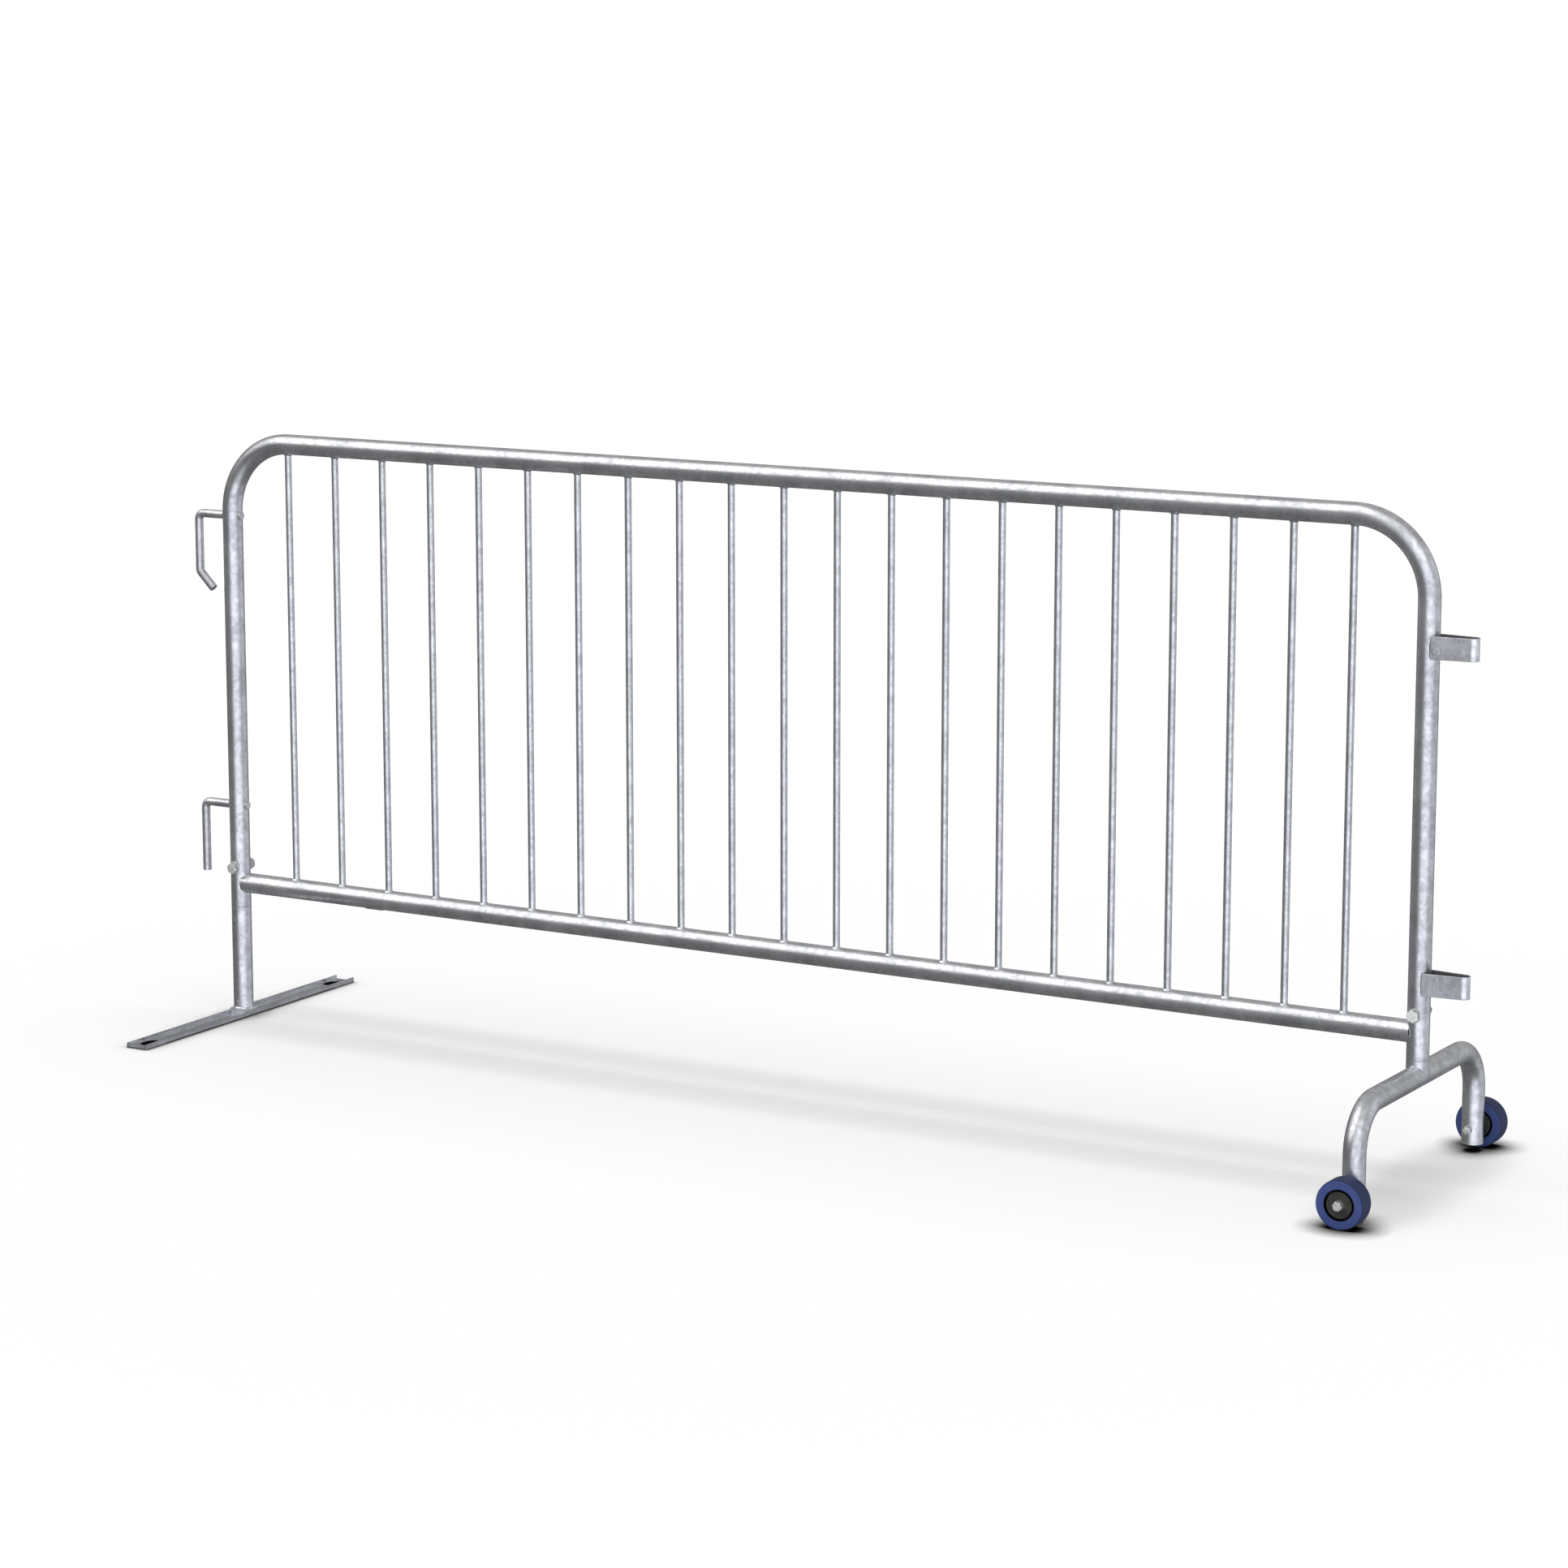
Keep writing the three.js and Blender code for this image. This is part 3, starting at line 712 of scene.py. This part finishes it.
def strap_body(name, reach, z, half):
    """The bent strap with its rounded edges; its inner side is shaded."""
    steps = 4
    rows = []
    for inside, height in ((False, -1), (False, 1), (True, 1), (True, -1)):
        for k in range(steps):
            a = math.pi / 2 * k / (steps - 1)
            back, down = STRAP_EDGE * (1 - math.sin(a)), STRAP_EDGE * (1 - math.cos(a))
            off, drop = (back, down) if inside == (height < 0) else (down, back)
            line = strap_line(reach, STRAP - off if inside else off)
            rows.append([Vector((LEG_X + px, py, z + height * (half - drop))) for px, py in line])
    verts, faces = grid(rows, close_across=False, close_along=True)
    n, m = len(rows), len(rows[0])
    faces.append(tuple(i * m for i in range(n)))
    faces.append(tuple(i * m + m - 1 for i in range(n))[::-1])
    strap = make(name, verts, faces, GALV_STRAP, 40)
    strap.data.materials.append(GALV_SHADE)
    for quad in strap.data.polygons[2 * steps * (m - 1):(4 * steps - 1) * (m - 1)]:
        quad.material_index = 1
    return strap


def strap_bead(side, z, half):
    """The weld that runs along one of the strap's cut ends, where it meets the leg."""
    upper, lower, outward = [], [], []
    px = LOOP_ROOT + 0.2 * MM
    for k in range(33):
        s = k / 32
        pz = z - half + 2 * half * s
        fade = math.sin(math.pi * (s * 0.96 + 0.02)) ** 0.35
        wave = 1 + 0.25 * noise.noise(Vector((pz * 90, side, 3)))
        lean = math.acos(px / TUBE_R) + math.radians(9.0 * fade * wave)
        upper.append((LEG_X + px, side * (TUBE_R - 0.35 * MM), pz))
        lower.append((LEG_X + TUBE_R * math.cos(lean), side * TUBE_R * math.sin(lean), pz))
        outward.append((-0.6, side, 0))
    return bead("bead", upper, lower, outward, 0.3 * MM, GALV_STRAP, closed=False, seed=40 + side)


def loop(name, marked):
    """A strap loop welded to its leg; the marked one has a frozen run of zinc on its front."""
    lo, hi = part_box(name)
    half, z = (hi.z - lo.z) / 2, (hi.z + lo.z) / 2
    parts = [strap_body(name + "_strap", hi.x - LEG_X, z, half)]
    parts += [strap_bead(side, z, half) for side in (-1, 1)]
    if marked:
        spot = (LEG_X + 19.5 * MM, -TUBE_R + 1.4 * MM, z - 5.5 * MM)
        parts.append(swirl("spot", spot, (0.1, -1, 0), 8.0 * MM, GALV_STRAP))
    return place(join(name + "_strap", parts), "barrier", [name])


loop("loop_upper", True)
loop("loop_lower", False)


# ------------------------------------ fasteners

def hex_radius(flats, angle):
    """Radius of a hexagon, given across its flats, at an angle."""
    return flats / 2 / math.cos(angle % (math.pi / 3) - math.pi / 6)


def hexagon(name, centre, axis, flats, height, bore, material):
    """A hexagon head, or a nut when it has a bore. axis points out of the chamfered face."""
    axis, centre = Vector(axis), Vector(centre)
    side = Vector((1, 0, 0))
    up = side.cross(axis)
    count = 72

    def ring(level, radius=None):
        """A round ring, or without a radius the hexagon's outline, chamfered above its base."""
        out = []
        for a in turns(count):
            r = hex_radius(flats, a) if radius is None else radius
            z = level
            if radius is None and level > 0:
                z -= max(r - flats / 2 * 0.97, 0) * math.tan(math.radians(30))
            out.append(centre + side * (r * math.cos(a)) + up * (r * math.sin(a)) + axis * z)
        return out

    face, centre_hole, edge = flats / 2 * 0.95, 1e-5, 0.4 * MM
    if bore > 0:
        rings = [ring(0, bore), ring(height - edge, bore), ring(height, bore + edge)]
    else:
        rings = [ring(height, centre_hole), ring(height, face * 0.6)]
    rings += [ring(height, face), ring(height), ring(0), ring(0, bore if bore > 0 else centre_hole)]
    piece = make(name, *grid(rings), material, 25)
    # The six flanks take the half-bright copy of the zinc: painted shade.
    piece.data.materials.append(ZINC_SHADED_SIDES)
    flank = (len(rings) - 3) * count
    for quad in piece.data.polygons[flank:flank + count]:
        quad.material_index = 1
    return piece


def washer(name, node_name):
    """A plain washer with softened outer edges."""
    lo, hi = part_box(node_name)
    outer, half = (hi.x - lo.x) / 2, (hi.y - lo.y) / 2
    bore, r = outer * 0.5, 0.45 * MM
    profile = [(bore, -half), (outer - r, -half), (outer - 0.3 * r, -half + 0.3 * r), (outer, -half + r)]
    piece = turned(name, mirrored(profile), (lo + hi) / 2, (0, 1, 0), ZINC, 64)
    return place(piece, "barrier", [node_name])


def threaded(name, centre, axis, size, start, end):
    """A threaded shank: rings of thread with a chamfered tip."""
    radius, pitch, tip = size["thread"], size["pitch"], 0.9 * MM
    root = radius - 0.55 * pitch
    profile = [(radius * 0.4, start)]
    d = start
    while d < end - 1.2 * pitch:
        profile += [(radius, d), (radius, d + 0.12 * pitch), (root, d + 0.5 * pitch), (root, d + 0.6 * pitch)]
        d += pitch
    profile += [(radius, d), (radius, end - tip), (radius - tip, end), (1e-5, end)]
    return turned(name, profile, centre, axis, ZINC, 48, closed=False, sharp=25)


def lock_set(prefix, spin, head_zinc):
    """A lock bolt through a leg: head and washer in front, washer, nut and thread behind."""
    lo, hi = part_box(prefix + "_bolt")
    nut_lo, nut_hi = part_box(prefix + "_nut")
    x, z = (lo.x + hi.x) / 2, (lo.z + hi.z) / 2
    flats = hi.z - lo.z
    head = hexagon("head", (x, lo.y + LOCK["head"], z), (0, -1, 0), flats, LOCK["head"], 0, head_zinc)
    turn_about(head, (x, z), spin)
    shank = threaded("shank", (x, 0, z), (0, 1, 0), LOCK, 0.0, hi.y)
    place(join(prefix + "_lock_bolt", [head, shank]), "barrier", [prefix + "_bolt"])
    nut = hexagon(prefix + "_lock_nut", (x, nut_lo.y, z), (0, 1, 0), flats, nut_hi.y - nut_lo.y,
                  LOCK["nut_bore"], ZINC)
    turn_about(nut, (x, z), spin * 2)
    place(nut, "barrier", [prefix + "_nut"])
    for side in ("head", "nut"):
        washer(f"{prefix}_{side}_plain_washer", f"{prefix}_{side}_washer")


lock_set("flat_foot", 11, ZINC)
# The bridge foot's bolt head takes the brighter copy of the zinc: painted light.
lock_set("bridge_foot", 24, ZINC_PAINTED_LIGHT)


# ------------------------------------ flat foot

def cut_and_bevelled(obj, cutters, bevel):
    """The mesh less its cutters, with every edge sharper than 40 degrees rounded."""
    obj.modifiers.clear()
    for cutter in cutters:
        cut = obj.modifiers.new("cut", "BOOLEAN")
        cut.operation = "DIFFERENCE"
        cut.solver = "EXACT"
        cut.object = cutter
    edge = obj.modifiers.new("edge", "BEVEL")
    edge.width = bevel
    edge.segments = 2
    edge.limit_method = "ANGLE"
    edge.angle_limit = math.radians(40)
    bpy.context.view_layer.update()
    graph = bpy.context.evaluated_depsgraph_get()
    mesh = bpy.data.meshes.new_from_object(obj.evaluated_get(graph))
    obj.modifiers.clear()
    obj.data = mesh
    for cutter in cutters:
        bpy.data.objects.remove(cutter)
    shade_evenly(obj, 32)
    return obj


def channel_section(half, height):
    """Outline of the folded plate across its length: the outer side, then the inner side."""
    def flange(x, level, r, steps):
        """Down the right-hand flange, round its fold and onto the web."""
        bend = [math.pi / 2 * k / steps for k in range(1, steps)]
        fold = [(x - r * (1 - math.cos(a)), level + r * (1 - math.sin(a))) for a in bend]
        return [(x, height), (x, level + r)] + fold + [(x - r, level)]

    def flipped(points):
        return [(-px, pz) for px, pz in points]

    outer = flange(half, 0, 1.6 * MM, 6)
    inner = flange(half - CHANNEL_WALL, CHANNEL_WALL, 0.4 * MM, 4)
    return flipped(outer) + outer[::-1] + inner + flipped(inner[::-1])


def slot_cutter(x, y):
    """A solid with the outline of an anchor slot, through the channel's web."""
    half_turn = [math.pi * k / 32 for k in range(33)]
    outline = [(SLOT_R * math.cos(a), SLOT_HALF + SLOT_R * math.sin(a)) for a in half_turn]
    outline += [(-px, -py) for px, py in outline]
    rings = [[Vector((x + px, y + py, pz)) for px, py in outline] for pz in (-5 * MM, 6 * MM)]
    return make("slot", *capped(rings), GALV_PLATE)


def flat_channel():
    """A shallow channel folded from plate, its last stretch at each end a touch lower than the middle."""
    lo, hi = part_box("flat_foot_channel")
    x, half, height, end = (lo.x + hi.x) / 2, (hi.x - lo.x) / 2, hi.z, hi.y
    ease = 6 * MM
    near, far = end - CHANNEL_PAD - ease, end - CHANNEL_PAD + ease
    section = channel_section(half, height)
    rows = []
    for y in (-end, -far, -near, 0, near, far, end):
        lift = 0.0 if abs(y) > end - CHANNEL_PAD else CHANNEL_ARCH
        raised = [(px, pz + lift if pz < height - 0.01 * MM else pz) for px, pz in section]
        rows.append([Vector((x + px, y, pz)) for px, pz in raised])
    blank = make("flat_foot_plate", *capped(rows), GALV_PLATE)
    plate = cut_and_bevelled(blank, [slot_cutter(x, -SLOT_Y), slot_cutter(x, SLOT_Y)], 0.25 * MM)
    slot_painted_shade = len(plate.data.materials)
    cut_end = slot_painted_shade + 1
    plate.data.materials.append(SLOT_SHADE)
    plate.data.materials.append(GALV_SHADE)
    for side in plate.data.polygons:
        c = side.center
        along = max(abs(abs(c.y) - SLOT_Y) - SLOT_HALF, 0)
        in_slot = math.hypot(c.x - x, along) < SLOT_R + 0.4 * MM and c.z < 4 * MM
        # The slot walls are painted near-black shade.
        if in_slot and -0.95 < side.normal.z < 0.25:
            side.material_index = slot_painted_shade
        # The cut ends take the darker zinc of painted shade.
        if abs(c.y) > end - 0.5 * MM:
            side.material_index = cut_end
    return plate


place(flat_channel(), "barrier", ["flat_foot_channel"])


def seat():
    """The block under the post."""
    lo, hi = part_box("flat_foot_seat")
    outline = ((lo.x, lo.y), (hi.x, lo.y), (hi.x, hi.y), (lo.x, hi.y))
    rings = [[Vector((px, py, pz)) for px, py in outline] for pz in (lo.z, hi.z)]
    return cut_and_bevelled(make("flat_foot_block", *capped(rings), WELD), [], 0.8 * MM)


place(seat(), "barrier", ["flat_foot_seat"])


def plain_post():
    """The post of the flat foot, with the weld round its base and two pips of weld on its front."""
    lo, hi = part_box("flat_foot_post")
    path = straight((-LEG_X, 0, lo.z - SINK), (-LEG_X, 0, hi.z))
    post = tube("flat_foot_tube", path, (1, 0, 0), TUBE_R, TUBE_BORE, GALV_TUBE, 64, 0.7 * MM)
    upper, lower, outward = [], [], []
    for a in turns(72):
        out = Vector((math.cos(a), math.sin(a), 0))
        grow = 1 + 0.2 * noise.noise(out * 3)
        upper.append(Vector((-LEG_X, 0, lo.z + 2.6 * MM * grow)) + out * TUBE_R)
        lower.append(Vector((-LEG_X, 0, lo.z - 0.5 * MM)) + out * (TUBE_R + 1.6 * MM * grow))
        outward.append(out + Vector((0, 0, 1)))
    parts = [post, bead("weld", upper, lower, outward, 0.2 * MM, WELD, seed=12)]
    for z, turn in ((29 * MM, -90), (188 * MM, -99)):
        a = math.radians(turn)
        axis = (math.cos(a), math.sin(a), 0)
        root = (-LEG_X + TUBE_R * axis[0], TUBE_R * axis[1], z)
        parts.append(dome("pip", root, axis, 2.2 * MM, 0.7 * MM, WELD))
    return place(join("flat_foot_tube", parts), "barrier", ["flat_foot_post"])


plain_post()


def spigot(node_name):
    """The thinner tube that joins a foot to its leg."""
    lo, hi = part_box(node_name)
    x, radius = (lo.x + hi.x) / 2, hi.y
    path = straight((x, 0, lo.z), (x, 0, hi.z))
    obj = tube(node_name + "_tube", path, (1, 0, 0), radius, radius - SPIGOT_WALL, GALV_INNER, 48, 0.5 * MM)
    return place(obj, "barrier", [node_name])


spigot("flat_foot_spigot")
spigot("bridge_foot_spigot")


# ------------------------------------ bridge foot

bridge_path = bent([(LEG_X, -BRIDGE_SPAN, BRIDGE_END_Z), (LEG_X, -BRIDGE_SPAN, BRIDGE_Z),
                    (LEG_X, BRIDGE_SPAN, BRIDGE_Z), (LEG_X, BRIDGE_SPAN, BRIDGE_END_Z)], BRIDGE_BEND, 28)
bridge = tube("bridge_foot_bend", bridge_path, (1, 0, 0), TUBE_R, TUBE_BORE, GALV_TUBE, 64)
place(bridge, "barrier", ["bridge_foot_tube"])


def saddle_stub():
    """The short tube on top of the bridge, cut to its round back, with the weld along the cut."""
    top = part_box("bridge_foot_stub")[1].z
    lip = 0.6 * MM
    rings = []
    for radius, level in ((TUBE_R, None), (TUBE_R, lip), (TUBE_R - 0.3 * lip, 0.3 * lip), (TUBE_R - lip, 0),
                          (TUBE_BORE, 0), (TUBE_BORE, None)):
        ring = []
        for a in turns(96):
            px = radius * math.cos(a)
            z = BRIDGE_Z + tube_back(px) - SINK if level is None else top - level
            ring.append(Vector((LEG_X + px, radius * math.sin(a), z)))
        rings.append(ring)
    parts = [make("bridge_foot_stub_tube", *grid(rings, close_along=True), GALV_TUBE)]
    upper, lower, outward = [], [], []
    for a in turns(96):
        grow = 1 + 0.2 * noise.noise(Vector((math.cos(a) * 3, math.sin(a) * 3, 9)))
        size = 1.1 * MM * grow * abs(math.sin(a)) ** 0.35
        px, py = TUBE_R * math.cos(a), TUBE_R * math.sin(a)
        level = BRIDGE_Z + tube_back(px)
        upper.append((LEG_X + px, py, level + size))
        lower.append((LEG_X + px, py + math.copysign(size, py), level - 0.1 * MM))
        outward.append((math.cos(a) * 0.3, math.sin(a), 1))
    parts.append(bead("weld", upper, lower, outward, 0.1 * MM, GALV_TUBE, seed=21))
    return place(join("bridge_foot_stub_tube", parts), "barrier", ["bridge_foot_stub"])


saddle_stub()


# ------------------------------------ wheels

def tyre_profile(radius, half):
    """Half of the tyre, from its bore over the flat side to the rounded edge of its tread."""
    side, brow = radius - 2.2 * MM, half - 0.25 * MM
    shoulder = half - 6 * MM
    profile = [(TYRE_BORE, half - 5 * MM), (TYRE_BORE, half - 1.2 * MM),
               (TYRE_BORE + 0.35 * MM, half - 0.35 * MM), (TYRE_BORE + 1.2 * MM, half),
               (side - 1.5 * MM, half), (side, brow)]
    for k in range(1, 7):
        a = math.pi / 2 * k / 6
        profile.append((side + (radius - side) * math.sin(a), shoulder + (brow - shoulder) * math.cos(a)))
    return profile


def hub_profile(half):
    """Half of the hub: its bore, a face with two shallow grooves, and the seat of the tyre."""
    bore, disc, seat_r, rim = HUB["bore"], HUB["face"], HUB["seat"], HUB["half_rim"]
    edge, depth = 0.5 * MM, 0.55 * MM
    profile = [(bore, half - 0.6 * MM), (bore + 0.6 * MM, half)]
    for groove in (14.2 * MM, 18.6 * MM):
        profile += [(groove - 0.5 * MM, half), (groove - 0.2 * MM, half - depth),
                    (groove + 0.2 * MM, half - depth), (groove + 0.5 * MM, half)]
    profile += [(disc - edge, half), (disc, half - edge), (disc, rim + 0.8 * MM), (disc + 0.8 * MM, rim),
                (seat_r, rim)]
    return profile


def wheel(name, side):
    """One wheel: side is -1 for the front one. Profiles run outwards from the wheel's mid plane."""
    body = name + "_wheel"
    lo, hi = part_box(body + "_tyre")
    centre, axis = (lo + hi) / 2, (0, side, 0)
    profile = tyre_profile((hi.z - lo.z) / 2, (hi.y - lo.y) / 2)
    tyre = turned(body + "_tread", mirrored(profile), centre, axis, TREAD, 128, sharp=50)
    place(tyre, body, [body + "_tyre"])

    lo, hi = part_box(body + "_hub")
    hub = turned(body + "_core", mirrored(hub_profile((hi.y - lo.y) / 2)), centre, axis, HUB_NYLON, 128)
    place(hub, body, [body + "_hub"])

    lo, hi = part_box(body + "_bush")
    half, outer = (hi.y - lo.y) / 2, (hi.x - lo.x) / 2
    profile = [(6.3 * MM, half - 0.4 * MM), (6.7 * MM, half), (outer - 0.5 * MM, half),
               (outer, half - 0.5 * MM)]
    bush = turned(body + "_bearing", mirrored(profile), centre, axis, BUSH_NYLON, 64)
    place(bush, body, [body + "_bush"])


def distances(lo, hi):
    """How near to and how far from the middle plane a box reaches."""
    return min(abs(lo.y), abs(hi.y)), max(abs(lo.y), abs(hi.y))


def axle(name, side, head_spin):
    """The axle set, which stays with the foot while the wheel turns."""
    lo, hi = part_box(name + "_axle_bolt")
    x, z = (lo.x + hi.x) / 2, (lo.z + hi.z) / 2
    near, far = distances(lo, hi)
    base = (x, side * (far - AXLE["head"]), z)
    head = hexagon("head", base, (0, side, 0), hi.z - lo.z, AXLE["head"], 0, ZINC)
    turn_about(head, (x, z), head_spin)
    shank = threaded("shank", (x, 0, z), (0, -side, 0), AXLE, -(far - 5 * MM), -near)
    place(join(name + "_axle_screw", [head, shank]), "barrier", [name + "_axle_bolt"])

    lo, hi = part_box(name + "_axle_nut")
    near, far = distances(lo, hi)
    nut = hexagon(name + "_axle_hex_nut", (x, side * far, z), (0, -side, 0), hi.z - lo.z, far - near,
                  AXLE["nut_bore"], ZINC)
    turn_about(nut, (x, z), 17)
    place(nut, "barrier", [name + "_axle_nut"])
    for part in ("head_washer", "spacer", "nut_washer"):
        washer(f"{name}_axle_plain_{part}", f"{name}_axle_{part}")

    lo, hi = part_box(name + "_axle_sleeve")
    path = straight((x, lo.y, z), (x, hi.y, z))
    sleeve = tube(name + "_axle_collar", path, (1, 0, 0), *SLEEVE, GALV_INNER, 40, 0.2 * MM)
    place(sleeve, "barrier", [name + "_axle_sleeve"])


for wheel_name, wheel_side, bolt_spin in (("front", -1, 9), ("rear", 1, 31)):
    wheel(wheel_name, wheel_side)
    axle(wheel_name, wheel_side, bolt_spin)


# ------------------------------------ floor, light and camera

def pale_floor():
    """A pale matt floor with painted shade: darker where something stands close over it, near-black under the
    foot channel, and a touch darker near the barrier than further out, where it pales.
    """
    material, tree, shader, coords = new_material("studio_floor")
    # Ambient occlusion darkens the floor where something stands close over it: a painted contact shadow.
    close = node(tree, "ShaderNodeAmbientOcclusion", Distance=0.052, samples=16)
    dark = maths(tree, "POWER", close.outputs["AO"], 2.2)
    lo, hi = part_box("flat_foot_channel")
    xyz = split_xyz(tree, coords)

    def within(axis, low, high):
        """1 between two places on an axis and 0 outside them."""
        away = maths(tree, "ABSOLUTE", maths(tree, "SUBTRACT", xyz[axis], (low + high) / 2))
        return maths(tree, "LESS_THAN", away, (high - low) / 2 - 0.6 * MM)

    # Under the foot channel the floor is painted near-black: a painted shadow, seen through the slots.
    under = maths(tree, "MULTIPLY", within("X", lo.x, hi.x), within("Y", lo.y, hi.y))
    shade = maths(tree, "MULTIPLY", dark, maths(tree, "SUBTRACT", 1.0, maths(tree, "MULTIPLY", under, 0.995)))
    reach = node(tree, "ShaderNodeVectorMath", operation="LENGTH")
    tree.links.new(coords, reach.inputs[0])
    # Within 1.7 m of the middle the floor is painted a touch darker, painted shade that deepens the shadows
    # there; past 3.4 m it is paler.
    tone = step(tree, reach.outputs["Value"], 1.7, 3.4, 0.0734, 0.0763)
    tree.links.new(maths(tree, "MULTIPLY", shade, tone), shader.inputs["Base Color"])
    shader.inputs["Roughness"].default_value = 0.9
    shader.inputs["Specular IOR Level"].default_value = 0.0
    lines = (-60, -6, 0, 6, 60)
    rows = [[Vector((px, py, -0.2 * MM)) for px in lines] for py in lines]
    floor = make("studio_floor", *grid(rows, close_across=False), material)
    floor.visible_glossy = False
    return floor


def overhead_light(floor):
    """A broad light over the set that falls on the floor only, for the soft shadows."""
    lamp = bpy.data.objects.new("overhead", bpy.data.lights.new("overhead", "SUN"))
    lamp.data.energy = 40.0
    lamp.data.angle = math.radians(58)
    lamp.rotation_euler = Vector((0.03, -0.035, -1)).to_track_quat("-Z", "Y").to_euler()
    lamp.visible_glossy = False
    bpy.context.scene.collection.objects.link(lamp)
    lit = bpy.data.collections.new("lit_by_overhead")
    lit.objects.link(floor)
    lamp.light_linking.receiver_collection = lit


overhead_light(pale_floor())


def direction(azimuth, elevation):
    """Azimuth from the front of the barrier towards its loop end, in degrees."""
    a, e = math.radians(azimuth), math.radians(elevation)
    return (math.sin(a) * math.cos(e), -math.cos(a) * math.cos(e), math.sin(e))


def studio_light():
    """A dim room with broad soft boxes: front left above, front right, right and a pale back wall."""
    world = bpy.data.worlds.new("studio")
    bpy.context.scene.world = world
    world.use_nodes = True
    tree = world.node_tree
    coords = tree.nodes.new("ShaderNodeTexCoord").outputs["Generated"]

    def along(vector):
        n = node(tree, "ShaderNodeVectorMath", operation="DOT_PRODUCT")
        tree.links.new(coords, n.inputs[0])
        n.inputs[1].default_value = vector
        return n.outputs["Value"]

    def box(azimuth, elevation, outer, inner, strength):
        """A soft box: full strength within the inner angle, none beyond the outer one."""
        edge, full = math.cos(math.radians(outer)), math.cos(math.radians(inner))
        return step(tree, along(direction(azimuth, elevation)), edge, full, 0.0, strength)

    def light(strength, colour):
        n = tree.nodes.new("ShaderNodeBackground")
        n.inputs["Color"].default_value = (*colour, 1)
        if isinstance(strength, float):
            n.inputs["Strength"].default_value = strength
        else:
            tree.links.new(strength, n.inputs["Strength"])
        return n.outputs["Background"]

    room = step(tree, along((0, 0, 1)), 0.0, 0.7, 0.19, 0.42)
    for soft_box in (box(-47, 46, 38, 17, 1.6), box(50, 48, 34, 12, 0.55), box(178, 24, 48, 12, 0.15)):
        room = maths(tree, "ADD", room, soft_box)
    cool = maths(tree, "ADD", box(36, -4, 58, 12, 1.15), box(118, -4, 52, 20, 0.46))
    lit = tree.nodes.new("ShaderNodeAddShader")
    tree.links.new(light(room, (1.0, 1.0, 1.0)), lit.inputs[0])
    tree.links.new(light(cool, (0.965, 1.0, 1.09)), lit.inputs[1])
    mix = tree.nodes.new("ShaderNodeMixShader")
    seen = tree.nodes.new("ShaderNodeLightPath").outputs["Is Camera Ray"]
    tree.links.new(seen, mix.inputs["Fac"])
    tree.links.new(lit.outputs["Shader"], mix.inputs[1])
    tree.links.new(light(1.05, (1.0, 1.0, 1.0)), mix.inputs[2])
    tree.links.new(mix.outputs["Shader"], tree.nodes["World Output"].inputs["Surface"])


studio_light()
bpy.context.scene.view_settings.view_transform = "Standard"


def set_camera(place_at, yaw, pitch, roll, lens, shift):
    """The camera. Yaw, pitch and roll are in degrees; yaw 0 looks along +Y, and a pitch looks down."""
    yaw, pitch, roll = math.radians(yaw), math.radians(pitch), math.radians(roll)
    forward = Vector((-math.sin(yaw) * math.cos(pitch), math.cos(yaw) * math.cos(pitch), -math.sin(pitch)))
    level = Vector((math.cos(yaw), math.sin(yaw), 0))
    below = forward.cross(level)
    right = level * math.cos(roll) + below * math.sin(roll)
    down = below * math.cos(roll) - level * math.sin(roll)
    camera = bpy.data.objects.new("camera", bpy.data.cameras.new("camera"))
    basis = Matrix((right, -down, -forward)).transposed().to_4x4()
    camera.matrix_world = Matrix.Translation(place_at) @ basis
    camera.data.sensor_width = 36
    camera.data.lens = lens
    camera.data.shift_x, camera.data.shift_y = shift
    camera.data.clip_end = 200
    bpy.context.scene.collection.objects.link(camera)
    bpy.context.scene.camera = camera


set_camera((3.9157, -6.6858, 1.9815), yaw=31.122, pitch=10.515, roll=0.138, lens=101.79,
           shift=(0.0372, 0.0076))
